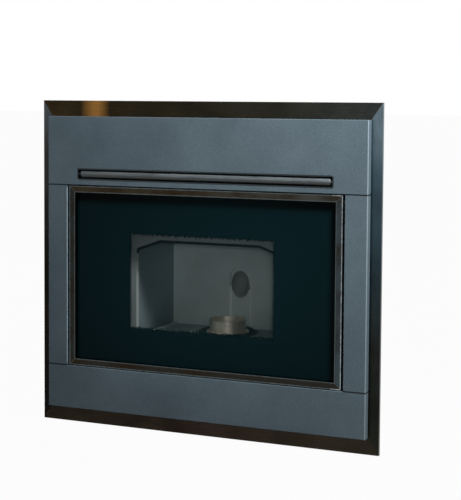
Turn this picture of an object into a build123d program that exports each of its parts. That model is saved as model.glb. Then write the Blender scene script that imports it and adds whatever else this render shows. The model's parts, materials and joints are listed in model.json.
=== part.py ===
"""Pellet-burning fireplace insert on a pull-out carriage.

+X is to the viewer's right, +Y goes into the fireplace and +Z is up. The origin lies on the hearth,
midway across the width and midway along the depth.
"""

import os
from math import atan2, cos, degrees, radians, sin, sqrt, tan

from build123d import *

os.makedirs("parts", exist_ok=True)

# ---------------------------------------------------------------- driving dimensions (mm)
# Front, seen from the room.
trim_width = 800.0
trim_height = 732.0
trim_floor_gap = 3.0
trim_side_reveal = 24.0
trim_end_reveal = 35.5
trim_tuck = 9.0
trim_sheet = 1.5
trim_return = 8.0
trim_fall = 1.2
mitre_gap = 0.25

panel_proud = 20.0
panel_sheet = 2.0
panel_edge_radius = 1.2
panel_seam = 0.8
strip_width = 49.0
top_panel_height = 153.5
bottom_panel_height = 97.0

slot_width = 605.0
slot_height = 27.0
slot_lift = 11.0
slot_corner_radius = 5.0
grille_fit = 0.3
grille_rim = 2.6
grille_depth = 19.5
grille_set_back = 0.6
blade_thickness = 1.6
blade_depth = 18.0
blade_tilt = 34.0
blade_rise = 4.5

# Door.
door_side_gap = 4.5
door_end_gap = 2.0
door_rail = 15.0
door_depth = 18.5
door_set_back = 0.5
bead_width = 2.4
bead_height = 1.1
mitre_groove = 0.4
mitre_angle = 45.0
bead_softness = 0.7
glass_thickness = 4.0
glass_depth = 12.0
glass_overlap = 8.0
glass_side_gap = 1.0
retainer_sheet = 1.5
retainer_gap = 0.5
retainer_width = 26.0
seal_width = 10.0
seal_edge_chamfer = 1.8
seal_corner_radius = 16.0
seal_inset = 24.5
seal_gap = 0.3

# Door hinge and latch.
hinge_inset = 5.5
hinge_depth = 6.3
hinge_pin_radius = 2.5
hinge_running = 0.05
hinge_bush_wall = 1.0
hinge_bush_length = 12.0
hinge_plate = 3.0
hinge_plate_half_width = 8.0
hinge_foot_height = 22.0
hinge_foot_sheet = 2.0
hinge_panel_gap = 0.5
hinge_hole_clear = 1.0
latch_inset = 3.7
latch_drop = 28.0
latch_spindle_radius = 2.0
latch_running = 0.05
latch_half_width = 3.0
latch_reach = 8.0
latch_plate = 3.0
latch_lift_off = 0.5
latch_gap = 2.0

# Casing on the carriage.
frame_sheet = 2.0
frame_lap = 9.5
frame_tuck = 2.0
casing_sheet = 1.5
casing_width = 528.0
casing_head_room = 62.0
casing_floor = 46.0
skirt_bottom = 10.0
side_flange = 12.0
vent_length = 70.0
vent_width = 5.0
vent_pitch = 15.0
vent_rows = 10
rear_vents = 3
vent_rise = 150.0
vent_depth = 330.0
floor_slot_length = 60.0
floor_slot_width = 10.0
floor_slot_rows = 3
floor_slot_pitch_x = 80.0
floor_slot_pitch_y = 24.0
rear_hole_gap = 2.0

# Pull-out rails and base frame.
base_side_gap = 4.0
base_sheet = 2.0
base_front = 42.0
base_flange = 44.0
base_hole_radius = 4.5
base_hole_span_x = 470.0
base_hole_span_y = 360.0
base_cutout_x = 400.0
base_cutout_y = 260.0
base_cutout_radius = 24.0
base_bend_radius = 1.8
rail_sheet = 1.5
rail_height = 36.0
rail_lift = 6.0
rail_short_by = 40.0
rail_front = 44.0
rail_outer_lip = 9.6
rail_mid_lip = 6.0
rail_inner_lip = 7.5
rail_clearance = 0.3
skirt_sheet = 1.5

# Rear docking plate and its connections.
dock_gap = 12.0
dock_sheet = 2.0
dock_half_width = 230.0
dock_height = 230.0
dock_foot = 22.0
dock_corner_radius = 18.0
dock_gasket = 2.0
dock_gasket_width = 10.0
dock_touch = 0.3
flue_radius = 40.0
flue_wall = 1.5
air_radius = 25.0
air_wall = 1.2
spigot_flange = 10.0
spigot_flange_sheet = 2.0
spigot_reach = 66.0

# Firebox.
mouth_depth = 50.0
mouth_half_width = 178.0
mouth_top_rise = 56.5
mouth_chamfer_run = 59.0
mouth_chamfer_drop = 21.0
mouth_sill_drop = 156.0
mouth_corner_radius = 9.0
mouth_lip = 6.0
mouth_lip_side = 2.5
mouth_lip_depth = 9.0
firebox_front_sheet = 2.5
firebox_flange_lap = 10.0
firebox_pan_inset = 33.5
firebox_wall = 3.0
firebox_half_width = 184.0
firebox_back_depth = 266.0
firebox_floor_drop = 165.0
firebox_gap = 0.3
liner_thickness = 14.0
liner_top_rise = 110.0
groove_half_width = 26.0
groove_depth = 6.0
groove_top_drop = 20.5
chute_half_width = 21.5
chute_half_height = 30.0
chute_centre_drop = 69.0
chute_offset = 2.0
baffle_rise = 110.0
baffle_sheet = 4.0
baffle_front = 74.0
baffle_lip = 16.0
baffle_gap = 0.3
ledge_width = 7.0
ledge_height = 8.0

# Burn pot, its holder and the ash tray.
pot_x = -8.0
pot_depth = 178.0
pot_radius = 42.0
pot_wall = 2.5
pot_rim_drop = 133.0
pot_height = 65.0
pot_floor = 3.0
pot_flange_radius = 49.0
pot_flange = 2.5
pot_hole_radius = 2.4
pot_holes = 8
pot_hole_rows = (18.0,)
pot_notch_width = 14.0
pot_notch_depth = 17.0
pot_notch_angle = -40.0
pot_fit = 0.5
holder_cavity_radius = 47.0
holder_wall = 3.5
holder_depth = 72.0
holder_plate = 3.0
holder_flange_radius = 56.0
holder_fit = 0.3
holder_boss_radius = 29.0
holder_boss_reach = 60.0
holder_boss_seat = 8.0
ash_pan_sheet = 1.5
ash_pan_rim = 7.0
ash_pan_half_width = 165.0
ash_pan_front = 62.0
ash_pan_back_gap = 8.0
ash_pan_corner_radius = 14.0
ash_pan_pot_gap = 4.0
ash_pan_rest = 0.3

# Heat exchanger.
tube_count = 7
tube_radius = 16.0
tube_wall = 1.5
tube_pitch = 46.0
tube_fit = 0.3
tube_tail = 6.0
tube_plate = 2.5
tube_head_room = 20.5

# Smoke fan, combustion air and igniter.
fan_x = 146.0
fan_back_room = 85.0
fan_z = 140.0
fan_width = 84.0
fan_wall = 3.0
scroll_radius = 54.0
scroll_growth = 8.0
scroll_quarters = 3
scroll_outlet = 77.0
outlet_reach = 14.0
outlet_wall = 2.0
fan_inlet_radius = 30.0
impeller_radius = 44.0
impeller_plate = 2.0
impeller_width = 42.0
impeller_hub_radius = 9.0
impeller_blades = 10
impeller_blade = 2.0
impeller_running = 4.0
shaft_radius = 4.0
shaft_running = 0.05
fan_motor_radius = 33.0
fan_motor_length = 52.0
air_drop = 40.0
igniter_radius = 4.5
igniter_drop = 8.0
igniter_head_radius = 8.0
igniter_head_length = 34.0
igniter_length = 84.0

pipe_fit = 0.1
duct_wall = 1.5
smoke_left = 50.0
smoke_duct_run = 41.0
smoke_box_reach = 45.0
smoke_box_bottom = 100.0
smoke_box_height = 82.0
smoke_hole_lift = 6.0
smoke_hole_height = 44.0

# Pellet feed.
chute_wall = 1.5
chute_fit = 0.3
auger_gap = 38.0
auger_back_room = 65.0
auger_lean = 35.0
auger_foot_x = 192.0
auger_length = 283.0
auger_bore_radius = 25.0
auger_wall = 2.0
auger_cap = 4.0
auger_shaft_radius = 6.0
auger_running = 0.1
auger_flight_radius = 23.0
auger_flight = 2.2
auger_pitch = 44.0
auger_turns = 5.5
auger_flight_start = 10.0
auger_window_start = 76.0
auger_window_end = 140.0
auger_window_half = 22.0
flight_root = 1.0
gear_motor_chamfer = 3.0
gearbox_sump = 4.0
gearbox_size = 56.0
gearbox_length = 34.0
gearbox_corner_radius = 8.0
gear_motor_radius = 23.0
gear_motor_length = 30.0
hopper_left = -90.0
hopper_right = 250.0
hopper_front_reach = 57.0
hopper_back_reach = 59.0
hopper_wall = 1.5
hopper_funnel_height = 157.0
throat_left = 74.0
throat_right = 148.0
throat_half_depth = 26.0
throat_rise = 9.0
lid_overhang = 6.0
lid_height = 11.0
lid_sheet = 1.5
lid_corner_radius = 6.0
lid_softness = 0.6
lid_rest = 0.3
lid_back_gap = 2.3
lid_front_overhang = 9.0
lid_hinge_back = 1.2
lid_pin_radius = 1.5
knuckle_radius = 3.0
knuckle_running = 0.05
knuckle_length = 24.0
knuckle_gap = 0.3
knuckle_inset = 60.0
knuckle_tab = 4.0

# Room-air fan.
room_fan_x = -30.0
room_fan_depth = 100.0
room_fan_z = 92.0
room_drum_radius = 26.0
room_drum_length = 240.0
room_drum_blades = 16
room_blade = 1.2
room_blade_chord = 7.0
room_blade_lean = 28.0
room_disc = 2.0
room_drum_gap = 3.0
room_scroll_radius = 34.0
room_scroll_wall = 1.5
room_plate = 2.0
room_plate_half = 38.0
room_outlet_height = 30.0
room_top_z = 130.0
motor_chamfer = 3.0
motor_groove = 2.0
motor_groove_width = 4.0
room_motor_radius = 24.0
room_motor_length = 55.0

# Controls.
control_side_gap = 8.0
control_width = 106.0
control_depth = 98.0
control_back_gap = 16.0
control_height = 132.0
control_corner_radius = 4.0
control_rib = 3.0
control_slots = 5
inlet_inset = 58.0
inlet_z = 226.0
inlet_width = 48.0
inlet_height = 60.0
inlet_flange = 5.0
inlet_flange_sheet = 2.0
inlet_depth = 24.0
socket_width = 25.0
socket_height = 17.0
socket_depth = 17.0
socket_drop = 13.0
socket_pins = 3
socket_pin_pitch = 7.0
socket_pin_width = 2.0
socket_pin_height = 4.0
socket_pin_length = 12.0
rocker_width = 18.0
rocker_height = 22.0
rocker_lift = 15.0
rocker_well = 9.0
rocker_gap = 0.4
rocker_pivot_depth = 4.0
rocker_crown = 1.6
rocker_trunnion = 1.5

# ---------------------------------------------------------------- places worked out from them
duct_front = firebox_back_depth + firebox_wall
smoke_duct_back = duct_front + smoke_duct_run
auger_outer = auger_bore_radius + auger_wall
auger_depth = smoke_duct_back + auger_gap + auger_outer
casing_depth = auger_depth + auger_back_room
overall_depth = casing_depth + dock_gap + dock_sheet + spigot_reach
face_y = -overall_depth / 2
mid_z = trim_floor_gap + trim_height / 2
field_half_width = trim_width / 2 - trim_side_reveal
field_half_height = trim_height / 2 - trim_end_reveal
opening_half_width = field_half_width - strip_width
opening_top_z = mid_z + field_half_height - top_panel_height
opening_bottom_z = mid_z - field_half_height + bottom_panel_height
door_half_width = opening_half_width - door_side_gap
door_top_z = opening_top_z - door_end_gap
door_bottom_z = opening_bottom_z + door_end_gap
slot_bottom_z = opening_top_z + slot_lift
slot_mid_z = slot_bottom_z + slot_height / 2
tube_z = slot_mid_z
shell_top_z = tube_z + tube_radius + tube_head_room
casing_half = casing_width / 2
casing_top = shell_top_z + casing_head_room
frame_front = panel_proud + trim_sheet
frame_back = frame_front + frame_sheet
shell_front = mouth_depth + firebox_front_sheet
fan_depth = casing_depth - fan_back_room
inlet_x = inlet_inset - casing_half


def at(depth):
    """Y of a point that lies this far behind the face of the decor panels."""
    return face_y + depth


def facing(depth):
    """Sketch plane at this depth that faces the room: local x is X, local y is Z."""
    return Plane.XZ.offset(-at(depth))


def across(x):
    """Sketch plane at this X that looks along +X: local x is Y, local y is Z."""
    return Plane.YZ.offset(x)


def level(z):
    """Horizontal sketch plane at this height: local x is X, local y is Y."""
    return Plane.XY.offset(z)


def finish(builder, name):
    """Name a finished piece and write it to its own file."""
    builder.part.label = name
    export_step(builder.part, f"parts/{name}.step")


def span(x_low, x_high, y_low, y_high, mode=Mode.ADD):
    """A rectangle between two corners, in the sketch that is being drawn."""
    with Locations(((x_low + x_high) / 2, (y_low + y_high) / 2)):
        Rectangle(x_high - x_low, y_high - y_low, mode=mode)


def disc(x, y, radius, mode=Mode.ADD):
    """A circle about a point, in the sketch that is being drawn."""
    with Locations((x, y)):
        Circle(radius, mode=mode)


# ---------------------------------------------------------------- base frame on the hearth
base_half_width = casing_half + base_side_gap
base_back = base_front + casing_depth
base_mid_y = at((base_front + base_back) / 2)
rail_length = casing_depth - rail_short_by
base_inner_x = base_half_width - base_sheet

with BuildPart() as base_frame:
    with BuildSketch(level(0)):
        span(-base_half_width, base_half_width, at(base_front), at(base_back))
    extrude(amount=base_flange)
    open_sides = base_frame.faces().filter_by(Axis.Y) + base_frame.faces().sort_by(Axis.Z)[-1:]
    offset(amount=-base_sheet, openings=open_sides)
    fillet(base_frame.edges().filter_by(Axis.Y).group_by(Axis.Z)[0], base_bend_radius)
    with BuildSketch(level(0)):
        with Locations((0, base_mid_y)):
            RectangleRounded(base_cutout_x, base_cutout_y, base_cutout_radius)
            with GridLocations(base_hole_span_x, base_hole_span_y, 2, 2):
                Circle(base_hole_radius)
    extrude(amount=base_sheet, mode=Mode.SUBTRACT)
finish(base_frame, "base_frame")

# Telescopic rails: a fixed outer, a floating middle and an inner rail on the carriage skirt.
rail_mid_z = rail_lift + rail_height / 2
rail_mid_height = rail_height - 2 * (rail_sheet + rail_clearance)
rail_inner_height = rail_mid_height - 2 * (rail_sheet + rail_clearance)
rail_mid_web = base_inner_x - rail_sheet - rail_clearance
rail_inner_tip = rail_mid_web - rail_sheet - rail_clearance
skirt_x = rail_inner_tip - rail_inner_lip - rail_sheet


def rail(name, side, web_x, tip_x, height):
    """A C-shaped rail along Y: its web starts at web_x and its flanges end at tip_x."""
    toward = 1 if tip_x > web_x else -1
    hollow = (side * (web_x + toward * rail_sheet), side * (tip_x + toward))
    with BuildPart() as member:
        with BuildSketch(facing(rail_front)):
            span(*sorted((side * web_x, side * tip_x)), rail_mid_z - height / 2, rail_mid_z + height / 2)
            inner_half = height / 2 - rail_sheet
            span(*sorted(hollow), rail_mid_z - inner_half, rail_mid_z + inner_half, mode=Mode.SUBTRACT)
        extrude(amount=-rail_length)
    finish(member, name)


for side, hand in ((-1, "left"), (1, "right")):
    outer_tip = base_inner_x - rail_sheet - rail_outer_lip
    rail(f"rail_outer_{hand}", side, base_inner_x, outer_tip, rail_height)
    rail(f"rail_mid_{hand}", side, rail_mid_web, rail_mid_web - rail_sheet - rail_mid_lip, rail_mid_height)
    rail(f"rail_inner_{hand}", side, skirt_x, rail_inner_tip, rail_inner_height)

# ---------------------------------------------------------------- smoke fan and air line layout
floor_z = mid_z - firebox_floor_drop
liner_front = firebox_back_depth - liner_thickness
fan_axis_y = at(fan_depth)
flue_z = fan_z - scroll_radius - scroll_quarters * scroll_growth + scroll_outlet / 2
air_z = floor_z - firebox_wall - air_drop
dock_front = casing_depth + dock_gap
dock_back = dock_front + dock_sheet
carriage_pipe_end = dock_front - dock_gasket - dock_touch
smoke_right = fan_x - fan_width / 2
smoke_hole_z = mid_z + baffle_rise + baffle_sheet + smoke_hole_lift

with BuildPart() as rear_dock:
    with BuildSketch(across(-dock_half_width)):
        Polygon(
            (at(dock_front), base_sheet),
            (at(dock_front + dock_foot), base_sheet),
            (at(dock_front + dock_foot), base_sheet + dock_sheet),
            (at(dock_back), base_sheet + dock_sheet),
            (at(dock_back), dock_height),
            (at(dock_front), dock_height),
        )
    extrude(amount=2 * dock_half_width)
    fillet(rear_dock.edges().filter_by(Axis.Y).group_by(Axis.Z)[-1], dock_corner_radius)
    with BuildSketch(facing(dock_front)):
        disc(fan_x, flue_z, flue_radius - flue_wall)
        disc(pot_x, air_z, air_radius - air_wall)
    extrude(amount=-dock_sheet, mode=Mode.SUBTRACT)
finish(rear_dock, "rear_dock")


def spigot(name, x, z, radius, wall):
    """A flanged collar behind the dock that a pipe pushes over."""
    with BuildPart() as collar:
        with BuildSketch(facing(dock_back)):
            disc(x, z, radius + spigot_flange)
            disc(x, z, radius - wall, mode=Mode.SUBTRACT)
        extrude(amount=-spigot_flange_sheet)
        with BuildSketch(facing(dock_back)):
            disc(x, z, radius)
            disc(x, z, radius - wall, mode=Mode.SUBTRACT)
        extrude(amount=-spigot_reach)
    finish(collar, name)


spigot("flue_spigot", fan_x, flue_z, flue_radius, flue_wall)
spigot("air_spigot", pot_x, air_z, air_radius, air_wall)

with BuildPart() as dock_gaskets:
    with BuildSketch(facing(dock_front - dock_gasket)):
        for x, z, radius in ((fan_x, flue_z, flue_radius), (pot_x, air_z, air_radius)):
            disc(x, z, radius + dock_gasket_width / 2)
            disc(x, z, radius - dock_gasket_width / 2, mode=Mode.SUBTRACT)
    extrude(amount=-dock_gasket)
finish(dock_gaskets, "dock_gaskets")

# ---------------------------------------------------------------- decor panels
hinge_x = hinge_inset - door_half_width


def decor_panel(name, x_low, x_high, z_low, z_high, slotted=False, hinge_hole_z=None):
    """A folded pan, open at the back, with its front edges softly rolled."""
    with BuildPart() as pan:
        with BuildSketch(facing(0)):
            span(x_low, x_high, z_low, z_high)
        extrude(amount=-panel_proud)
        offset(amount=-panel_sheet, openings=pan.faces().sort_by(Axis.Y)[-1])
        fillet(pan.faces().sort_by(Axis.Y)[0].edges(), panel_edge_radius)
        if slotted:
            with BuildSketch(facing(0)):
                with Locations((0, slot_mid_z)):
                    RectangleRounded(slot_width, slot_height, slot_corner_radius)
            extrude(amount=-panel_sheet, mode=Mode.SUBTRACT)
        if hinge_hole_z is not None:
            with BuildSketch(level(hinge_hole_z)):
                disc(hinge_x, at(hinge_depth), hinge_pin_radius + hinge_hole_clear)
            extrude(amount=panel_sheet, mode=Mode.SUBTRACT)
    finish(pan, name)


strip_low = opening_bottom_z + panel_seam
strip_high = opening_top_z - panel_seam
field_top_z = mid_z + field_half_height
field_bottom_z = mid_z - field_half_height
decor_panel(
    "panel_top", -field_half_width, field_half_width, opening_top_z, field_top_z, True, opening_top_z
)
decor_panel(
    "panel_bottom",
    -field_half_width,
    field_half_width,
    field_bottom_z,
    opening_bottom_z,
    hinge_hole_z=opening_bottom_z - panel_sheet,
)
decor_panel("panel_left", -field_half_width, -opening_half_width, strip_low, strip_high)
decor_panel("panel_right", opening_half_width, field_half_width, strip_low, strip_high)

# ---------------------------------------------------------------- mitred trim frame
mitre_run = trim_side_reveal + trim_tuck
mitre_rise = mitre_run * trim_end_reveal / trim_side_reveal


def trim_section(reveal):
    """Distance inwards and depth of each corner of a trim member's folded section."""
    inner = reveal * mitre_run / trim_side_reveal
    edge = panel_proud + trim_fall
    return (
        (0, edge),
        (reveal, panel_proud),
        (inner, panel_proud),
        (inner, frame_front),
        (reveal, frame_front),
        (trim_sheet, edge + trim_sheet),
        (trim_sheet, edge + trim_return),
        (0, edge + trim_return),
    )


def mitre(side_x, side_z, into_end_member):
    """Cutting plane of one trim corner, with its normal into the member that is kept."""
    corner = Vector(side_x * trim_width / 2, 0, mid_z + side_z * trim_height / 2)
    normal = Vector(-side_x * mitre_rise, 0, side_z * mitre_run).normalized()
    if not into_end_member:
        normal = normal * -1
    return Plane(origin=corner + normal * (mitre_gap / 2), z_dir=normal)


for side, end in ((1, "top"), (-1, "bottom")):
    with BuildPart() as member:
        with BuildSketch(across(-trim_width / 2)):
            Polygon(
                *(
                    (at(depth), mid_z + side * (trim_height / 2 - inward))
                    for inward, depth in trim_section(trim_end_reveal)
                )
            )
        extrude(amount=trim_width)
        split(bisect_by=mitre(-1, side, True))
        split(bisect_by=mitre(1, side, True))
    finish(member, f"trim_{end}")

for side, hand in ((-1, "left"), (1, "right")):
    with BuildPart() as member:
        with BuildSketch(level(trim_floor_gap)):
            Polygon(
                *(
                    (side * (trim_width / 2 - inward), at(depth))
                    for inward, depth in trim_section(trim_side_reveal)
                )
            )
        extrude(amount=trim_height)
        split(bisect_by=mitre(side, -1, False))
        split(bisect_by=mitre(side, 1, False))
    finish(member, f"trim_{hand}")

# ---------------------------------------------------------------- warm-air grille
grille_width = slot_width - 2 * grille_fit
grille_height = slot_height - 2 * grille_fit
grille_corner_radius = slot_corner_radius - grille_fit
grille_way_height = grille_height - 2 * grille_rim
blade_mid_y = at(grille_set_back + grille_depth / 2)

with BuildPart() as air_grille:
    with BuildSketch(across(-grille_width / 2)):
        with Locations(Location((blade_mid_y, slot_mid_z + blade_rise, 0), (0, 0, blade_tilt))):
            Rectangle(blade_depth, blade_thickness)
    extrude(amount=grille_width)
    with BuildSketch(facing(0)):
        with Locations((0, slot_mid_z)):
            RectangleRounded(grille_width, grille_height, grille_corner_radius)
    extrude(amount=-panel_proud, mode=Mode.INTERSECT)
    with BuildSketch(facing(grille_set_back)):
        with Locations((0, slot_mid_z)):
            RectangleRounded(grille_width, grille_height, grille_corner_radius)
            RectangleRounded(
                grille_width - 2 * grille_rim,
                grille_way_height,
                grille_corner_radius - grille_rim,
                mode=Mode.SUBTRACT,
            )
    extrude(amount=grille_set_back - panel_proud)
finish(air_grille, "air_grille")

# ---------------------------------------------------------------- front frame behind the decor
latch_x = door_half_width - latch_inset
latch_z = mid_z - latch_drop
latch_window_x = latch_x + latch_half_width + 2 * latch_lift_off
frame_open_x = door_half_width - frame_lap
frame_open_top = door_top_z - frame_lap
frame_open_bottom = door_bottom_z + frame_lap
flange_x = frame_open_x + firebox_flange_lap
flange_top = frame_open_top + firebox_flange_lap
flange_bottom = frame_open_bottom - firebox_flange_lap

with BuildPart() as front_frame:
    with BuildSketch(facing(frame_front)):
        frame_half = field_half_width - frame_tuck
        span(-frame_half, frame_half, field_bottom_z + frame_tuck, field_top_z - frame_tuck)
        span(-frame_open_x, frame_open_x, frame_open_bottom, frame_open_top, mode=Mode.SUBTRACT)
        latch_low = latch_z - latch_half_width - latch_gap
        latch_high = latch_z + latch_reach + latch_gap
        span(0, latch_window_x, latch_low, latch_high, mode=Mode.SUBTRACT)
        with Locations((0, slot_mid_z)):
            SlotOverall(casing_width - 2 * casing_sheet, grille_way_height, mode=Mode.SUBTRACT)
    extrude(amount=-frame_sheet)
finish(front_frame, "front_frame")

# ---------------------------------------------------------------- door
door_mid_z = (door_top_z + door_bottom_z) / 2
door_height = door_top_z - door_bottom_z
door_face = door_set_back + bead_height
glass_back = glass_depth + glass_thickness
retainer_back = glass_back + retainer_sheet
bush_radius = hinge_pin_radius + hinge_running + hinge_bush_wall


def door_rectangle(inset, mode=Mode.ADD):
    """The door's outline, drawn in from its outer edge, in the sketch that is being drawn."""
    with Locations((0, door_mid_z)):
        Rectangle(2 * (door_half_width - inset), door_height - 2 * inset, mode=mode)


with BuildPart() as door_frame:
    with BuildSketch(facing(door_face)):
        door_rectangle(0)
        door_rectangle(door_rail, Mode.SUBTRACT)
    extrude(amount=door_face - door_depth)
    for outer_inset in (0, door_rail - bead_width):
        with BuildSketch(facing(door_set_back)):
            door_rectangle(outer_inset)
            door_rectangle(outer_inset + bead_width, Mode.SUBTRACT)
        extrude(amount=-bead_height)
    with BuildSketch(facing(glass_depth)):
        door_rectangle(door_rail - glass_overlap - glass_side_gap)
    extrude(amount=glass_depth - door_depth, mode=Mode.SUBTRACT)
    bead_edges = door_frame.faces().filter_by(Plane.XZ).sort_by(Axis.Y)[0:2].edges()
    fillet(bead_edges, bead_height * bead_softness)
    for side_x in (-1, 1):
        for corner_z, lean in ((door_top_z, side_x), (door_bottom_z, -side_x)):
            corner = Location((side_x * door_half_width, corner_z, 0), (0, 0, lean * mitre_angle))
            with BuildSketch(facing(door_set_back)):
                with Locations(corner):
                    Rectangle(2 * (door_rail + bead_width) / sin(radians(mitre_angle)), mitre_groove)
            extrude(amount=-bead_height - mitre_groove, mode=Mode.SUBTRACT)
    for bush_z in (door_bottom_z, door_top_z - hinge_bush_length):
        with BuildSketch(level(bush_z)):
            disc(hinge_x, at(hinge_depth), bush_radius)
        extrude(amount=hinge_bush_length, mode=Mode.SUBTRACT)
    with BuildSketch(facing(0)):
        disc(latch_x, latch_z, latch_spindle_radius + latch_running)
    extrude(amount=-door_depth, mode=Mode.SUBTRACT)
finish(door_frame, "door_frame")

with BuildPart() as door_glass:
    with BuildSketch(facing(glass_depth)):
        door_rectangle(door_rail - glass_overlap)
    extrude(amount=-glass_thickness)
finish(door_glass, "door_glass")

retainer_inset = door_rail - glass_overlap - glass_side_gap + retainer_gap
with BuildPart() as glass_retainer:
    with BuildSketch(facing(glass_back)):
        door_rectangle(retainer_inset)
        door_rectangle(retainer_inset + retainer_width, Mode.SUBTRACT)
    extrude(amount=-retainer_sheet)
finish(glass_retainer, "glass_retainer")

with BuildPart() as door_seal:
    with BuildSketch(facing(retainer_back)):
        for inset, mode in (
            (seal_inset - seal_width / 2, Mode.ADD),
            (seal_inset + seal_width / 2, Mode.SUBTRACT),
        ):
            with Locations((0, door_mid_z)):
                RectangleRounded(
                    2 * (door_half_width - inset),
                    door_height - 2 * inset,
                    seal_corner_radius + seal_inset - inset,
                    mode=mode,
                )
    extrude(amount=retainer_back - frame_back + seal_gap)
    chamfer(door_seal.faces().sort_by(Axis.Y)[-1].edges(), seal_edge_chamfer)
finish(door_seal, "door_seal")

with BuildPart() as hinge_bushes:
    for bush_z in (door_bottom_z, door_top_z - hinge_bush_length):
        with BuildSketch(level(bush_z)):
            disc(hinge_x, at(hinge_depth), bush_radius)
            disc(hinge_x, at(hinge_depth), hinge_pin_radius + hinge_running, Mode.SUBTRACT)
        extrude(amount=hinge_bush_length)
finish(hinge_bushes, "hinge_bushes")

with BuildPart() as hinge_brackets:
    for side, edge_z, door_edge_z in (
        (1, opening_top_z, door_top_z),
        (-1, opening_bottom_z, door_bottom_z),
    ):
        plate_z = edge_z + side * (panel_sheet + hinge_panel_gap)
        with BuildSketch(across(hinge_x - hinge_plate_half_width)):
            foot_y = at(frame_front)
            Polygon(
                (at(panel_sheet + hinge_panel_gap), plate_z),
                (foot_y, plate_z),
                (foot_y, plate_z + side * hinge_foot_height),
                (foot_y - hinge_foot_sheet, plate_z + side * hinge_foot_height),
                (foot_y - hinge_foot_sheet, plate_z + side * hinge_plate),
                (at(panel_sheet + hinge_panel_gap), plate_z + side * hinge_plate),
            )
        extrude(amount=2 * hinge_plate_half_width)
        with BuildSketch(level(plate_z)):
            disc(hinge_x, at(hinge_depth), hinge_pin_radius)
        extrude(amount=door_edge_z - side * hinge_bush_length - plate_z)
finish(hinge_brackets, "hinge_brackets")

with BuildPart() as latch_dog:
    with BuildSketch(facing(door_face + latch_lift_off)):
        disc(latch_x, latch_z, latch_spindle_radius)
    extrude(amount=door_face - frame_back)
    with BuildSketch(facing(frame_back + latch_lift_off)):
        disc(latch_x, latch_z, latch_half_width)
        span(latch_x - latch_half_width, latch_x + latch_half_width, latch_z, latch_z + latch_reach)
    extrude(amount=-latch_plate)
finish(latch_dog, "latch_dog")

# ---------------------------------------------------------------- carriage casing
tray_top = casing_floor + casing_sheet

with BuildPart() as floor_tray:
    with BuildSketch(facing(frame_back)):
        span(-casing_half, casing_half, casing_floor, tray_top)
        for side in (-1, 1):
            span(*sorted((side * skirt_x, side * (skirt_x - skirt_sheet))), skirt_bottom, casing_floor)
    extrude(amount=frame_back - casing_depth)
    with BuildSketch(level(casing_floor)):
        with Locations((room_fan_x, at(room_fan_depth))):
            with GridLocations(floor_slot_pitch_x, floor_slot_pitch_y, floor_slot_rows, floor_slot_rows):
                SlotOverall(floor_slot_length, floor_slot_width)
    extrude(amount=casing_sheet, mode=Mode.SUBTRACT)
finish(floor_tray, "floor_tray")

for side, hand in ((-1, "left"), (1, "right")):
    outer_x = side * casing_half
    inner_x = side * (casing_half - casing_sheet)
    rear_x = side * (casing_half - side_flange)
    with BuildPart() as wall:
        with BuildSketch(level(tray_top)):
            span(*sorted((outer_x, inner_x)), at(frame_back), at(casing_depth))
            wing_x = side * (casing_half + side_flange)
            span(*sorted((inner_x, wing_x)), at(frame_back), at(frame_back) + casing_sheet)
            span(*sorted((outer_x, rear_x)), at(casing_depth) - casing_sheet, at(casing_depth))
        extrude(amount=casing_top - casing_sheet - tray_top)
        with BuildSketch(facing(frame_back)):
            span(-flange_x, flange_x, flange_bottom - firebox_gap, flange_top + firebox_gap)
        extrude(amount=frame_back - shell_front - firebox_gap, mode=Mode.SUBTRACT)
        with BuildSketch(across(min(outer_x, inner_x))):
            with Locations((at(vent_depth), casing_floor + vent_rise)):
                with GridLocations(vent_length, vent_pitch, 1, vent_rows):
                    SlotOverall(vent_length, vent_width)
        extrude(amount=casing_sheet, mode=Mode.SUBTRACT)
    finish(wall, f"side_panel_{hand}")

rear_half = casing_half - side_flange
with BuildPart() as rear_panel:
    with BuildSketch(facing(casing_depth - casing_sheet)):
        span(-rear_half, rear_half, tray_top, casing_top - casing_sheet)
        disc(fan_x, flue_z, flue_radius - outlet_wall + rear_hole_gap, Mode.SUBTRACT)
        disc(pot_x, air_z, air_radius + rear_hole_gap, Mode.SUBTRACT)
        with Locations((inlet_x, inlet_z)):
            Rectangle(inlet_width, inlet_height, mode=Mode.SUBTRACT)
        with Locations((0, casing_top - vent_rise)):
            with GridLocations(2 * vent_length, vent_pitch, rear_vents, rear_vents):
                SlotOverall(vent_length, vent_width, mode=Mode.SUBTRACT)
    extrude(amount=-casing_sheet)
finish(rear_panel, "rear_panel")

hopper_front = auger_depth - hopper_front_reach
hopper_back = auger_depth + hopper_back_reach
hopper_mid_x = (hopper_left + hopper_right) / 2
hopper_mid_y = at((hopper_front + hopper_back) / 2)
hopper_span_x = hopper_right - hopper_left
hopper_span_y = hopper_back - hopper_front

lid_left = hopper_left - lid_overhang
lid_right = hopper_right + lid_overhang
lid_front = hopper_front - lid_front_overhang
lid_back = casing_depth - lid_back_gap
lid_hinge_y = at(casing_depth) + lid_hinge_back
lid_hinge_z = casing_top + knuckle_radius + lid_rest

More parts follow.
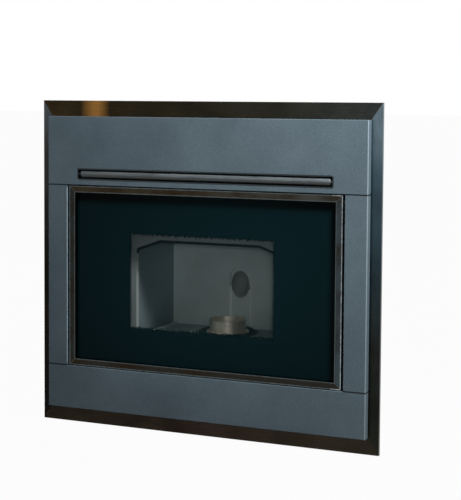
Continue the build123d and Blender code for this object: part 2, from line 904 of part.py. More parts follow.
with BuildPart() as top_cover:
    with BuildSketch(level(casing_top - casing_sheet)):
        span(-casing_half, casing_half, at(frame_back), at(casing_depth))
        with Locations((hopper_mid_x, hopper_mid_y)):
            Rectangle(hopper_span_x - 2 * hopper_wall, hopper_span_y - 2 * hopper_wall, mode=Mode.SUBTRACT)
    extrude(amount=casing_sheet)
    for knuckle_x in (lid_left + knuckle_inset, lid_right - knuckle_inset):
        with BuildSketch(across(knuckle_x - knuckle_length / 2)):
            disc(lid_hinge_y, lid_hinge_z, knuckle_radius)
            span(at(casing_depth) - knuckle_tab, lid_hinge_y, casing_top - casing_sheet, casing_top)
            span(at(casing_depth), lid_hinge_y + knuckle_radius, casing_top - casing_sheet, lid_hinge_z)
            disc(lid_hinge_y, lid_hinge_z, lid_pin_radius + knuckle_running, Mode.SUBTRACT)
        extrude(amount=knuckle_length)
finish(top_cover, "top_cover")

# ---------------------------------------------------------------- firebox
pan_x = door_half_width - firebox_pan_inset
pan_top = door_top_z - firebox_pan_inset
pan_bottom = door_bottom_z + firebox_pan_inset
shell_inner_x = firebox_half_width - firebox_wall


def mouth_outline(drop, spread=0):
    """Corner points of the mouth, with its top lowered by drop and its sides moved out by spread."""
    top_z = mid_z + mouth_top_rise - drop
    shoulder_z = top_z - mouth_chamfer_drop
    shoulder_x = mouth_half_width - mouth_chamfer_run
    side_x = mouth_half_width + spread
    sill_z = mid_z - mouth_sill_drop
    return (
        (-side_x, sill_z),
        (side_x, sill_z),
        (side_x, shoulder_z),
        (shoulder_x, top_z),
        (-shoulder_x, top_z),
        (-side_x, shoulder_z),
    )


with BuildPart() as firebox_front:
    with BuildSketch(facing(frame_back)):
        span(-flange_x, flange_x, flange_bottom, flange_top)
        span(-pan_x, pan_x, pan_bottom, pan_top, Mode.SUBTRACT)
        notch_x = door_half_width - seal_inset + seal_width / 2 + latch_lift_off
        span(notch_x, flange_x, latch_low, latch_high, Mode.SUBTRACT)
    extrude(amount=-firebox_front_sheet)
    with BuildSketch(facing(frame_back)):
        span(-pan_x, pan_x, pan_bottom, pan_top)
    extrude(amount=frame_back - shell_front)
    with BuildSketch(facing(frame_back)):
        wall = firebox_front_sheet
        span(-pan_x + wall, pan_x - wall, pan_bottom + wall, pan_top - wall)
    extrude(amount=frame_back - mouth_depth, mode=Mode.SUBTRACT)
    with BuildSketch(facing(shell_front)) as lip:
        Polygon(*mouth_outline(-mouth_lip, mouth_lip_side))
        fillet(lip.vertices().group_by(Axis.Y)[1:], mouth_corner_radius)
    extrude(amount=-mouth_lip_depth)
    with BuildSketch(facing(mouth_depth)) as mouth:
        Polygon(*mouth_outline(0))
        fillet(mouth.vertices().group_by(Axis.Y)[1:], mouth_corner_radius)
    extrude(amount=-firebox_front_sheet, mode=Mode.SUBTRACT)
    with BuildSketch(facing(shell_front)) as throat:
        Polygon(*mouth_outline(mouth_lip))
        fillet(throat.vertices().group_by(Axis.Y)[1:], mouth_corner_radius)
    extrude(amount=-mouth_lip_depth, mode=Mode.SUBTRACT)
finish(firebox_front, "firebox_front")

chute_reach = 2 * chute_half_height
chute_lean = degrees(atan2(sqrt(chute_half_height**2 - chute_half_width**2), chute_half_width))
chute_x = pot_x - chute_offset
chute_z = mid_z - chute_centre_drop
chute_direction = Vector(0, cos(radians(chute_lean)), sin(radians(chute_lean)))
chute_plane = Plane(
    origin=Vector(chute_x, at(liner_front), chute_z) - chute_direction * chute_reach,
    x_dir=(1, 0, 0),
    z_dir=chute_direction,
)
chute_outer = chute_half_width + chute_wall

with BuildPart() as firebox_shell:
    with BuildSketch(facing(shell_front)):
        span(-firebox_half_width, firebox_half_width, floor_z - firebox_wall, shell_top_z)
    extrude(amount=shell_front - firebox_back_depth - firebox_wall)
    offset(amount=-firebox_wall, openings=firebox_shell.faces().sort_by(Axis.Y)[0])
    with BuildSketch(facing(baffle_front)):
        ledge_top = mid_z + baffle_rise
        for side in (-1, 1):
            ledge_x = sorted((side * shell_inner_x, side * (shell_inner_x - ledge_width)))
            span(*ledge_x, ledge_top - ledge_height, ledge_top)
    extrude(amount=baffle_front - liner_front)
    with BuildSketch(facing(firebox_back_depth)):
        with Locations((0, tube_z)):
            with GridLocations(tube_pitch, tube_pitch, tube_count, 1):
                Circle(tube_radius + tube_fit)
        span(smoke_left, smoke_right, smoke_hole_z, smoke_hole_z + smoke_hole_height)
    extrude(amount=-firebox_wall, mode=Mode.SUBTRACT)
    with BuildSketch(level(floor_z)):
        disc(pot_x, at(pot_depth), holder_cavity_radius + holder_wall + holder_fit)
    extrude(amount=-firebox_wall, mode=Mode.SUBTRACT)
    with BuildSketch(chute_plane):
        Circle(chute_outer + chute_fit)
    extrude(amount=2 * chute_reach, mode=Mode.SUBTRACT)
finish(firebox_shell, "firebox_shell")

with BuildPart() as firebox_back:
    with BuildSketch(facing(liner_front)):
        liner_x = shell_inner_x - baffle_gap
        span(-liner_x, liner_x, floor_z, mid_z + liner_top_rise)
    extrude(amount=-liner_thickness)
    with BuildSketch(facing(liner_front)):
        arch_z = mid_z - groove_top_drop - groove_half_width
        span(pot_x - groove_half_width, pot_x + groove_half_width, floor_z, arch_z)
        disc(pot_x, arch_z, groove_half_width)
    extrude(amount=-groove_depth, mode=Mode.SUBTRACT)
    with BuildSketch(chute_plane):
        Circle(chute_outer + chute_fit)
    extrude(amount=2 * chute_reach, mode=Mode.SUBTRACT)
finish(firebox_back, "firebox_back")

with BuildPart() as baffle_plate:
    with BuildSketch(across(-shell_inner_x + baffle_gap)):
        baffle_z = mid_z + baffle_rise
        Polygon(
            (at(baffle_front), baffle_z),
            (at(firebox_back_depth) - baffle_gap, baffle_z),
            (at(firebox_back_depth) - baffle_gap, baffle_z + baffle_sheet),
            (at(baffle_front) - baffle_sheet, baffle_z + baffle_sheet),
            (at(baffle_front) - baffle_sheet, baffle_z - baffle_lip),
            (at(baffle_front), baffle_z - baffle_lip),
        )
    extrude(amount=2 * (shell_inner_x - baffle_gap))
finish(baffle_plate, "baffle_plate")

with BuildPart() as heat_tubes:
    with BuildSketch(facing(mouth_depth)):
        span(-firebox_half_width, firebox_half_width, pan_top, shell_top_z)
    extrude(amount=-tube_plate)
    tube_row = (0, tube_z)
    with BuildSketch(facing(mouth_depth)):
        with Locations(tube_row):
            with GridLocations(tube_pitch, tube_pitch, tube_count, 1):
                Circle(tube_radius)
    extrude(amount=mouth_depth - firebox_back_depth - firebox_wall - tube_tail)
    with BuildSketch(facing(mouth_depth)):
        with Locations(tube_row):
            with GridLocations(tube_pitch, tube_pitch, tube_count, 1):
                Circle(tube_radius - tube_wall)
    extrude(amount=mouth_depth - firebox_back_depth - firebox_wall - tube_tail, mode=Mode.SUBTRACT)
finish(heat_tubes, "heat_tubes")

# ---------------------------------------------------------------- burn pot, holder and ash tray
pot_rim_z = mid_z - pot_rim_drop
pot_bottom_z = pot_rim_z - pot_height
pot_flange_z = floor_z + holder_plate
pot_seat = (pot_x, at(pot_depth))


pot_section = Plane(origin=(*pot_seat, 0), x_dir=(1, 0, 0), z_dir=(0, -1, 0))
pot_axis = Axis((*pot_seat, 0), (0, 0, 1))

with BuildPart() as pot_holder:
    holder_outer = holder_cavity_radius + holder_wall
    holder_bottom = floor_z - holder_depth
    with BuildSketch(pot_section):
        Polygon(
            (0, holder_bottom),
            (holder_outer, holder_bottom),
            (holder_outer, floor_z),
            (holder_flange_radius, floor_z),
            (holder_flange_radius, pot_flange_z),
            (0, pot_flange_z),
        )
    revolve(axis=pot_axis)
    with BuildSketch(facing(pot_depth + holder_boss_reach)):
        disc(pot_x, air_z, holder_boss_radius)
    extrude(amount=holder_boss_reach)
    with BuildSketch(facing(pot_depth + holder_boss_reach)):
        disc(pot_x, air_z, air_radius + pipe_fit)
    extrude(amount=holder_boss_seat, mode=Mode.SUBTRACT)
    with BuildSketch(facing(pot_depth + holder_boss_reach)):
        disc(pot_x, air_z, air_radius - air_wall)
    extrude(amount=holder_boss_reach, mode=Mode.SUBTRACT)
    with BuildSketch(level(holder_bottom + holder_wall)):
        disc(*pot_seat, holder_cavity_radius)
    extrude(amount=holder_depth - holder_wall, mode=Mode.SUBTRACT)
    with BuildSketch(level(floor_z)):
        disc(*pot_seat, pot_radius + pot_fit)
    extrude(amount=holder_plate, mode=Mode.SUBTRACT)
    with BuildSketch(facing(pot_depth)):
        disc(pot_x, floor_z - igniter_drop, igniter_radius + holder_fit)
    extrude(amount=-holder_boss_reach, mode=Mode.SUBTRACT)
finish(pot_holder, "pot_holder")

with BuildPart() as burn_pot:
    with BuildSketch(pot_section):
        Polygon(
            (0, pot_bottom_z),
            (pot_radius, pot_bottom_z),
            (pot_radius, pot_flange_z),
            (pot_flange_radius, pot_flange_z),
            (pot_flange_radius, pot_flange_z + pot_flange),
            (pot_radius, pot_flange_z + pot_flange),
            (pot_radius, pot_rim_z),
            (pot_radius - pot_wall, pot_rim_z),
            (pot_radius - pot_wall, pot_bottom_z + pot_floor),
            (0, pot_bottom_z + pot_floor),
        )
    revolve(axis=pot_axis)
    for row_rise in pot_hole_rows:
        for index in range(pot_holes):
            heading = Vector(1, 0, 0).rotate(Axis.Z, 360 / pot_holes * (index + 1 / 2))
            with BuildSketch(Plane(origin=(*pot_seat, pot_bottom_z + row_rise), z_dir=heading)):
                Circle(pot_hole_radius)
            extrude(amount=pot_flange_radius, mode=Mode.SUBTRACT)
    with BuildSketch(level(pot_bottom_z)):
        with Locations(pot_seat):
            Circle(pot_hole_radius)
            with PolarLocations(pot_radius / 2, pot_holes):
                Circle(pot_hole_radius)
    extrude(amount=pot_floor, mode=Mode.SUBTRACT)
    notch_heading = Vector(1, 0, 0).rotate(Axis.Z, pot_notch_angle)
    with BuildSketch(Plane(origin=(*pot_seat, pot_rim_z), x_dir=(0, 0, -1), z_dir=notch_heading)):
        Rectangle(2 * pot_notch_depth, pot_notch_width)
    extrude(amount=pot_flange_radius, mode=Mode.SUBTRACT)
finish(burn_pot, "burn_pot")

with BuildPart() as ash_pan:
    ash_pan_back = liner_front - ash_pan_back_gap
    pan_z = floor_z + ash_pan_rest
    with BuildSketch(level(pan_z)):
        with Locations((0, at((ash_pan_front + ash_pan_back) / 2))):
            RectangleRounded(
                2 * ash_pan_half_width, ash_pan_back - ash_pan_front, ash_pan_corner_radius
            )
    extrude(amount=ash_pan_rim)
    offset(amount=-ash_pan_sheet, openings=ash_pan.faces().sort_by(Axis.Z)[-1])
    collar_radius = holder_flange_radius + ash_pan_pot_gap
    with BuildSketch(level(pan_z)):
        disc(*pot_seat, collar_radius + ash_pan_sheet)
    extrude(amount=ash_pan_rim)
    with BuildSketch(level(pan_z)):
        disc(*pot_seat, collar_radius)
    extrude(amount=ash_pan_rim, mode=Mode.SUBTRACT)
finish(ash_pan, "ash_pan")

with BuildPart() as intake_pipe:
    pipe_front = pot_depth + holder_boss_reach - holder_boss_seat
    with BuildSketch(facing(pipe_front)):
        disc(pot_x, air_z, air_radius)
        disc(pot_x, air_z, air_radius - air_wall, Mode.SUBTRACT)
    extrude(amount=pipe_front - carriage_pipe_end)
finish(intake_pipe, "intake_pipe")

with BuildPart() as igniter:
    igniter_z = floor_z - igniter_drop
    igniter_front = pot_depth + pot_radius + pot_fit
    with BuildSketch(facing(igniter_front)):
        disc(pot_x, igniter_z, igniter_radius)
    extrude(amount=-igniter_length)
    with BuildSketch(facing(igniter_front + igniter_length)):
        disc(pot_x, igniter_z, igniter_head_radius)
    extrude(amount=-igniter_head_length)
finish(igniter, "igniter")

# ---------------------------------------------------------------- pellet feed
auger_heading = Vector(-cos(radians(auger_lean)), 0, sin(radians(auger_lean)))
chute_head_z = chute_z + (auger_depth - liner_front) * tan(radians(chute_lean))
auger_foot_z = chute_head_z - (auger_foot_x - chute_x) * tan(radians(auger_lean))
auger_foot = Vector(auger_foot_x, at(auger_depth), auger_foot_z)
auger_plane = Plane(origin=auger_foot, x_dir=(0, 1, 0), z_dir=auger_heading)
auger_top_plane = Plane(origin=auger_foot, z_dir=(sin(radians(auger_lean)), 0, cos(radians(auger_lean))))
chute_run = (auger_depth - liner_front) / cos(radians(chute_lean))
auger_over_throat = auger_foot_z + (auger_foot_x - throat_left) * tan(radians(auger_lean))
throat_z = auger_over_throat + auger_outer / cos(radians(auger_lean)) + throat_rise
hopper_shoulder_z = throat_z + hopper_funnel_height

with BuildPart() as pellet_chute:
    with BuildSketch(chute_plane):
        Circle(chute_outer)
        Circle(chute_half_width, mode=Mode.SUBTRACT)
    extrude(amount=chute_reach + chute_run)
    split(bisect_by=Plane(origin=(0, at(liner_front + groove_depth), 0), z_dir=(0, 1, 0)))
    with BuildSketch(auger_plane):
        Circle(auger_outer + pipe_fit)
    extrude(amount=auger_length, mode=Mode.SUBTRACT)
finish(pellet_chute, "pellet_chute")

with BuildPart() as auger_tube:
    throat_mid_y = at(auger_depth)
    with BuildSketch(level(auger_foot_z)):
        for wall, mode in ((0, Mode.ADD), (hopper_wall, Mode.SUBTRACT)):
            half = throat_half_depth - wall
            span(throat_left + wall, throat_right - wall, throat_mid_y - half, throat_mid_y + half, mode)
    extrude(amount=throat_z - auger_foot_z)
    split(bisect_by=auger_top_plane)
    with BuildSketch(auger_plane):
        Circle(auger_outer)
    extrude(amount=auger_length)
    with BuildSketch(auger_top_plane):
        span(auger_window_start, auger_window_end, -auger_window_half, auger_window_half)
    extrude(amount=auger_outer + hopper_wall, mode=Mode.SUBTRACT)
    with BuildSketch(auger_plane.offset(auger_cap)):
        Circle(auger_bore_radius)
    extrude(amount=auger_length - 2 * auger_cap, mode=Mode.SUBTRACT)
    with BuildSketch(auger_plane):
        Circle(auger_shaft_radius + auger_running)
    extrude(amount=auger_length, mode=Mode.SUBTRACT)
    with BuildSketch(Plane(origin=(chute_x, at(auger_depth), chute_head_z), z_dir=chute_direction * -1)):
        Circle(chute_half_width)
    extrude(amount=auger_outer + auger_wall, mode=Mode.SUBTRACT)
finish(auger_tube, "auger_tube")

flight_mid = (auger_flight_radius + auger_shaft_radius) / 2 - flight_root / 2
with BuildPart() as auger_screw:
    with BuildSketch(auger_plane.offset(-gearbox_length)):
        Circle(auger_shaft_radius)
    extrude(amount=gearbox_length + auger_length)
    with BuildLine() as flight_path:
        Helix(
            pitch=auger_pitch,
            height=auger_pitch * auger_turns,
            radius=flight_mid,
            center=auger_foot + auger_heading * auger_flight_start,
            direction=auger_heading,
        )
    flight_start = flight_path.line @ 0
    flight_centre = auger_foot + auger_heading * auger_flight_start
    flight_plane = Plane(
        origin=flight_start, x_dir=flight_start - flight_centre, z_dir=flight_path.line % 0
    )
    with BuildSketch(flight_plane):
        Rectangle(auger_flight_radius - auger_shaft_radius + flight_root, auger_flight)
    sweep(path=flight_path.line, is_frenet=True)
finish(auger_screw, "auger_screw")

with BuildPart() as auger_gearmotor:
    with BuildSketch(auger_plane):
        RectangleRounded(gearbox_size, gearbox_size, gearbox_corner_radius)
    extrude(amount=-gearbox_length)
    with BuildSketch(auger_plane.offset(-gearbox_length)):
        Circle(gear_motor_radius)
    extrude(amount=-gear_motor_length)
    rims = auger_gearmotor.edges().filter_by(GeomType.CIRCLE).sort_by(SortBy.LENGTH)
    chamfer(rims[-1:], gear_motor_chamfer)
    with BuildSketch(auger_plane):
        Circle(auger_shaft_radius + auger_running)
    extrude(amount=-gearbox_length - gearbox_sump, mode=Mode.SUBTRACT)
finish(auger_gearmotor, "auger_gearmotor")

def hopper_body(wall):
    """The hopper's outline drawn in by a wall: its front view and side view, each run through the other."""
    top_z = casing_top - casing_sheet
    with BuildPart() as body:
        with BuildSketch(facing(hopper_front)):
            Polygon(
                (throat_left + wall, throat_z),
                (throat_right - wall, throat_z),
                (hopper_right - wall, hopper_shoulder_z),
                (hopper_right - wall, top_z),
                (hopper_left + wall, top_z),
                (hopper_left + wall, hopper_shoulder_z),
            )
        extrude(amount=-hopper_span_y)
        with BuildSketch(across(hopper_left)):
            Polygon(
                (at(auger_depth) - throat_half_depth + wall, throat_z),
                (at(auger_depth) + throat_half_depth - wall, throat_z),
                (at(hopper_back) - wall, hopper_shoulder_z),
                (at(hopper_back) - wall, top_z),
                (at(hopper_front) + wall, top_z),
                (at(hopper_front) + wall, hopper_shoulder_z),
            )
        extrude(amount=hopper_span_x, mode=Mode.INTERSECT)
    return body.part


with BuildPart() as hopper:
    add(hopper_body(0))
    add(hopper_body(hopper_wall), mode=Mode.SUBTRACT)
finish(hopper, "hopper")

with BuildPart() as hopper_lid:
    with BuildSketch(level(casing_top + lid_rest)):
        with Locations((hopper_mid_x, at((lid_front + lid_back) / 2))):
            RectangleRounded(lid_right - lid_left, lid_back - lid_front, lid_corner_radius)
    extrude(amount=lid_height)
    offset(amount=-lid_sheet, openings=hopper_lid.faces().sort_by(Axis.Z)[0])
    chamfer(hopper_lid.faces().sort_by(Axis.Z)[-1].edges(), lid_sheet * lid_softness)
    lid_knuckles = (
        (lid_left + knuckle_inset, 1),
        (lid_right - knuckle_inset, -1),
    )
    for knuckle_x, inward in lid_knuckles:
        near = knuckle_x + inward * (knuckle_length / 2 + knuckle_gap)
        far = near + inward * knuckle_length
        with BuildSketch(across(min(near, far))):
            disc(lid_hinge_y, lid_hinge_z, knuckle_radius)
            leaf_y = at(lid_back) - lid_sheet
            span(leaf_y, lid_hinge_y, lid_hinge_z, lid_hinge_z + knuckle_radius)
        extrude(amount=knuckle_length)
        pin_far = knuckle_x - inward * knuckle_length / 2
        with BuildSketch(across(min(near, pin_far))):
            disc(lid_hinge_y, lid_hinge_z, lid_pin_radius)
        extrude(amount=abs(near - pin_far))
finish(hopper_lid, "hopper_lid")

# ---------------------------------------------------------------- smoke path
smoke_top_z = smoke_hole_z + smoke_hole_height + 2 * duct_wall
smoke_box_back = fan_depth + smoke_box_reach


def smoke_outline(wall):
    """Side view of the L-shaped smoke duct, drawn in by a wall thickness."""
    low = smoke_box_bottom + wall
    return (
        (at(duct_front) + wall, low),
        (at(smoke_box_back) - wall, low),
        (at(smoke_box_back) - wall, smoke_box_bottom + smoke_box_height - wall),
        (at(smoke_duct_back) - wall, smoke_box_bottom + smoke_box_height - wall),
        (at(smoke_duct_back) - wall, smoke_top_z - wall),
        (at(duct_front) + wall, smoke_top_z - wall),
    )


with BuildPart() as smoke_duct:
    with BuildSketch(across(smoke_left)):
        Polygon(*smoke_outline(0))
    extrude(amount=smoke_right - smoke_left)
    with BuildSketch(across(smoke_left + duct_wall)):
        Polygon(*smoke_outline(duct_wall))
    extrude(amount=smoke_right - smoke_left - 2 * duct_wall, mode=Mode.SUBTRACT)
    with BuildSketch(facing(duct_front)):
        span(
            smoke_left + duct_wall, smoke_right - duct_wall, smoke_hole_z, smoke_hole_z + smoke_hole_height
        )
    extrude(amount=-duct_wall, mode=Mode.SUBTRACT)
    with BuildSketch(across(smoke_right - duct_wall)):
        disc(fan_axis_y, fan_z, fan_inlet_radius)
    extrude(amount=duct_wall, mode=Mode.SUBTRACT)
finish(smoke_duct, "smoke_duct")

fan_left = smoke_right
fan_right = fan_x + fan_width / 2
outlet_y = fan_axis_y + scroll_radius + outlet_reach


def scroll(plane, wall):
    """Face of the fan's scroll: three growing quarter turns that run out into a straight outlet."""
    first = scroll_radius - wall
    second = first + scroll_growth
    third = second + scroll_growth
    start_y, start_z = fan_axis_y, fan_z
    with BuildSketch(plane) as face:
        with BuildLine():
            CenterArc((start_y, start_z), first, 0, 90)
            CenterArc((start_y, start_z - scroll_growth), second, 90, 90)
            CenterArc((start_y + scroll_growth, start_z - scroll_growth), third, 180, 90)
            low_z = start_z - scroll_growth - third
            Polyline(
                (start_y + scroll_growth, low_z),
                (outlet_y - wall, low_z),
                (outlet_y - wall, low_z + scroll_outlet - 2 * wall),
                (start_y + first, low_z + scroll_outlet - 2 * wall),
                (start_y + first, start_z),
            )
        make_face()
    return face.sketch


with BuildPart() as smoke_fan_housing:
    extrude(scroll(across(fan_left), 0), amount=fan_width)
    smoke_room = scroll(across(fan_left + fan_wall), fan_wall)
    extrude(smoke_room, amount=fan_width - 2 * fan_wall, mode=Mode.SUBTRACT)
    with BuildSketch(facing(outlet_y - face_y)):
        disc(fan_x, flue_z, flue_radius - outlet_wall)
    extrude(amount=outlet_y - at(carriage_pipe_end))
    with BuildSketch(facing(outlet_y - face_y - fan_wall)):
        disc(fan_x, flue_z, flue_radius - 2 * outlet_wall)
    extrude(amount=outlet_y - fan_wall - at(carriage_pipe_end), mode=Mode.SUBTRACT)
    with BuildSketch(across(fan_left)):
        disc(fan_axis_y, fan_z, fan_inlet_radius)
    extrude(amount=fan_wall, mode=Mode.SUBTRACT)
    with BuildSketch(across(fan_right - fan_wall)):
        disc(fan_axis_y, fan_z, shaft_radius + shaft_running)
    extrude(amount=fan_wall, mode=Mode.SUBTRACT)
finish(smoke_fan_housing, "smoke_fan_housing")

with BuildPart() as smoke_impeller:
    back_x = fan_right - fan_wall - impeller_running
    with BuildSketch(across(back_x - impeller_plate)):
        disc(fan_axis_y, fan_z, impeller_radius)
    extrude(amount=impeller_plate)
    with BuildSketch(across(back_x - impeller_width)):
        disc(fan_axis_y, fan_z, impeller_hub_radius)
    extrude(amount=impeller_width)
    blade_mid_radius = (impeller_radius + impeller_hub_radius - impeller_blade) / 2
    with BuildSketch(across(back_x - impeller_width)):
        with Locations((fan_axis_y, fan_z)):
            with PolarLocations(blade_mid_radius, impeller_blades):
                Rectangle(impeller_radius - impeller_hub_radius, impeller_blade)
    extrude(amount=impeller_width)
    with BuildSketch(across(back_x)):
        disc(fan_axis_y, fan_z, shaft_radius)
    extrude(amount=impeller_running + fan_wall + fan_motor_length / 2)
finish(smoke_impeller, "smoke_impeller")


def motor(name, face_x, y, z, radius, length):
    """A small can motor whose face is at face_x and whose body runs to the right."""
    with BuildPart() as can:
        with BuildSketch(across(face_x)):
            disc(y, z, radius)
        extrude(amount=length)
        chamfer(can.faces().sort_by(Axis.X)[-1].edges(), motor_chamfer)
        with BuildSketch(across(face_x + length / 2)):
            disc(y, z, radius)
            disc(y, z, radius - motor_groove, Mode.SUBTRACT)
        extrude(amount=motor_groove_width, mode=Mode.SUBTRACT)
        with BuildSketch(across(face_x)):
            disc(y, z, shaft_radius + shaft_running)
        extrude(amount=length / 2 + motor_groove, mode=Mode.SUBTRACT)
    finish(can, name)


motor("smoke_fan_motor", fan_right, fan_axis_y, fan_z, fan_motor_radius, fan_motor_length)

# ---------------------------------------------------------------- room-air fan under the firebox
room_axis_y = at(room_fan_depth)
room_left = room_fan_x - room_drum_length / 2 - room_drum_gap
room_right = room_fan_x + room_drum_length / 2 + room_drum_gap

with BuildPart() as room_fan_housing:
    for plate_x in (room_left - room_plate, room_right):
        with BuildSketch(across(plate_x)):
            span(room_axis_y - room_plate_half, room_axis_y + room_plate_half, tray_top, room_top_z)
            disc(room_axis_y, room_fan_z, shaft_radius + shaft_running, Mode.SUBTRACT)
        extrude(amount=room_plate)
    with BuildSketch(across(room_left)):
        disc(room_axis_y, room_fan_z, room_scroll_radius + room_scroll_wall)
        disc(room_axis_y, room_fan_z, room_scroll_radius, Mode.SUBTRACT)
        gap_low = room_fan_z - room_scroll_radius - 2 * room_scroll_wall
        span(
            room_axis_y - room_outlet_height / 2,
            room_axis_y + room_plate_half,
            gap_low,
            room_fan_z,
            Mode.SUBTRACT,
        )
    extrude(amount=room_right - room_left)
finish(room_fan_housing, "room_fan_housing")

with BuildPart() as room_fan_drum:
    drum_left = room_fan_x - room_drum_length / 2
    for disc_x in (drum_left, room_fan_x - room_disc / 2, drum_left + room_drum_length - room_disc):
        with BuildSketch(across(disc_x)):
            disc(room_axis_y, room_fan_z, room_drum_radius)
        extrude(amount=room_disc)
    with BuildSketch(across(drum_left)):
        with Locations((room_axis_y, room_fan_z)):
            with PolarLocations(room_drum_radius - room_blade_chord / 2, room_drum_blades):
                Rectangle(room_blade_chord, room_blade, rotation=room_blade_lean)
    extrude(amount=room_drum_length)
    with BuildSketch(across(room_left - room_plate)):
        disc(room_axis_y, room_fan_z, shaft_radius)
    extrude(amount=room_right + 2 * room_plate - room_left + room_motor_length / 2)
finish(room_fan_drum, "room_fan_drum")

motor_x = room_right + room_plate
motor("room_fan_motor", motor_x, room_axis_y, room_fan_z, room_motor_radius, room_motor_length)

# ---------------------------------------------------------------- controls
control_left = control_side_gap - casing_half
control_right = control_left + control_width
control_back = casing_depth - control_back_gap
control_front = control_back - control_depth

with BuildPart() as control_box:
    with BuildSketch(level(tray_top)):
        with Locations(((control_left + control_right) / 2, at((control_front + control_back) / 2))):
            RectangleRounded(
                control_right - control_left, control_back - control_front, control_corner_radius
            )
    extrude(amount=control_height)
    chamfer(control_box.faces().sort_by(Axis.Z)[-1].edges(), control_corner_radius / 2)
    with BuildSketch(across(control_right)):
        with Locations((at((control_front + control_back) / 2), tray_top + control_height / 2)):
            with GridLocations(control_rib, vent_pitch, 1, control_slots):
                SlotOverall(vent_length, vent_width)
    extrude(amount=-control_rib, mode=Mode.SUBTRACT)
finish(control_box, "control_box")

rocker_z = inlet_z + rocker_lift
rocker_y = at(casing_depth) + inlet_flange_sheet - rocker_pivot_depth

with BuildPart() as mains_inlet:
    with BuildSketch(facing(casing_depth)):
        with Locations((inlet_x, inlet_z)):
            Rectangle(inlet_width + 2 * inlet_flange, inlet_height + 2 * inlet_flange)
    extrude(amount=-inlet_flange_sheet)
    with BuildSketch(facing(casing_depth)):
        with Locations((inlet_x, inlet_z)):
            Rectangle(inlet_width - 2 * pipe_fit, inlet_height - 2 * pipe_fit)
    extrude(amount=inlet_depth)
    socket_face = facing(casing_depth + inlet_flange_sheet)
    with BuildSketch(socket_face):
        with Locations((inlet_x, inlet_z - socket_drop)):
            Rectangle(socket_width, socket_height)
    extrude(amount=socket_depth, mode=Mode.SUBTRACT)
    with BuildSketch(socket_face):
        with Locations((inlet_x, rocker_z)):
            Rectangle(rocker_width + 2 * rocker_gap, rocker_height + 2 * rocker_gap)
    extrude(amount=rocker_well, mode=Mode.SUBTRACT)
    with BuildSketch(facing(casing_depth + inlet_flange_sheet - socket_depth)):
        with Locations((inlet_x, inlet_z - socket_drop)):
            with GridLocations(socket_pin_pitch, socket_height, socket_pins, 1):
                Rectangle(socket_pin_width, socket_pin_height)
    extrude(amount=-socket_pin_length)
    with BuildSketch(across(inlet_x - rocker_width / 2 - rocker_gap - rocker_trunnion)):
        disc(rocker_y, rocker_z, rocker_trunnion + shaft_running)
    extrude(amount=rocker_width + 2 * (rocker_gap + rocker_trunnion), mode=Mode.SUBTRACT)
finish(mains_inlet, "mains_inlet")

with BuildPart() as rocker_switch:
    with BuildSketch(across(inlet_x - rocker_width / 2)):
        Polygon(
            (rocker_y - rocker_crown, rocker_z - rocker_height / 2 + rocker_crown),
            (rocker_y - rocker_crown, rocker_z + rocker_height / 2 - rocker_crown),
            (rocker_y + rocker_crown, rocker_z + rocker_height / 2 - rocker_gap),
            (rocker_y + rocker_pivot_depth - rocker_gap, rocker_z),
            (rocker_y + rocker_crown, rocker_z - rocker_height / 2 + rocker_gap),
        )
    extrude(amount=rocker_width)
    with BuildSketch(across(inlet_x - rocker_width / 2 - rocker_gap - rocker_trunnion)):
        disc(rocker_y, rocker_z, rocker_trunnion)
    extrude(amount=rocker_width + 2 * (rocker_gap + rocker_trunnion))
finish(rocker_switch, "rocker_switch")
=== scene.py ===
# %% [markdown]
# # A pellet-burning fireplace insert
#
# The CAD model already holds every rigid piece at its real size. This lesson dresses it: paints,
# polished metal, printed glass, rope seals and the small fasteners that a press shop adds.
#
# We start by loading the CAD model as a fixed frame. Nothing in it is moved: pieces get finishes,
# and what we add rides on one of its bodies.

import json
from math import cos, pi, sin

import bmesh
import bpy
from mathutils import Matrix, Vector

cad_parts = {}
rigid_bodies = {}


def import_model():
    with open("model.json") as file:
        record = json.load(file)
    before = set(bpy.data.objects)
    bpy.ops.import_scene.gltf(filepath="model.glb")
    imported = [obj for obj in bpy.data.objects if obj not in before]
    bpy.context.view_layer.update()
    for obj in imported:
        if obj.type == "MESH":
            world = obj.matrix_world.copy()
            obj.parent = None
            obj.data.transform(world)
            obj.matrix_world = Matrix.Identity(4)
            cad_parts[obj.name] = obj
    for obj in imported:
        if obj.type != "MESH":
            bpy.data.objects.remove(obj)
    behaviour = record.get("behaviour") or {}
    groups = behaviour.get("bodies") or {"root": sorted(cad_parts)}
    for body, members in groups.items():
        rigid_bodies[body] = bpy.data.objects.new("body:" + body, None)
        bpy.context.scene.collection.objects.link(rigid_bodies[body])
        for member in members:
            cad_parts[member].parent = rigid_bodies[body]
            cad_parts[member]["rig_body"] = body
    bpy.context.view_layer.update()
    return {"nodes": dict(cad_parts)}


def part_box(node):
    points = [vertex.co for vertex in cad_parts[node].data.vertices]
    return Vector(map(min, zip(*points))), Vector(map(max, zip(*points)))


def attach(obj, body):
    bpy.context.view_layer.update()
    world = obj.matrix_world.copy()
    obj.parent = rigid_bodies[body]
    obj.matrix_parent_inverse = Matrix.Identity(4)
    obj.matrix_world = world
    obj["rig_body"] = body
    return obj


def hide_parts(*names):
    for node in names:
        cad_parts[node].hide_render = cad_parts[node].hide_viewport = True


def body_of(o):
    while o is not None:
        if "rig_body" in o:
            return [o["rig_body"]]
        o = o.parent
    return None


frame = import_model()
nodes = frame["nodes"]

# %% [markdown]
# ## Writing a finish as sums
#
# A material is a small graph of nodes. Drawing it node by node hides the idea behind it, so two
# small classes let us write the idea itself: `Wire` is one output socket that can be added,
# multiplied and compared, and `Finish` is one material that makes the nodes.

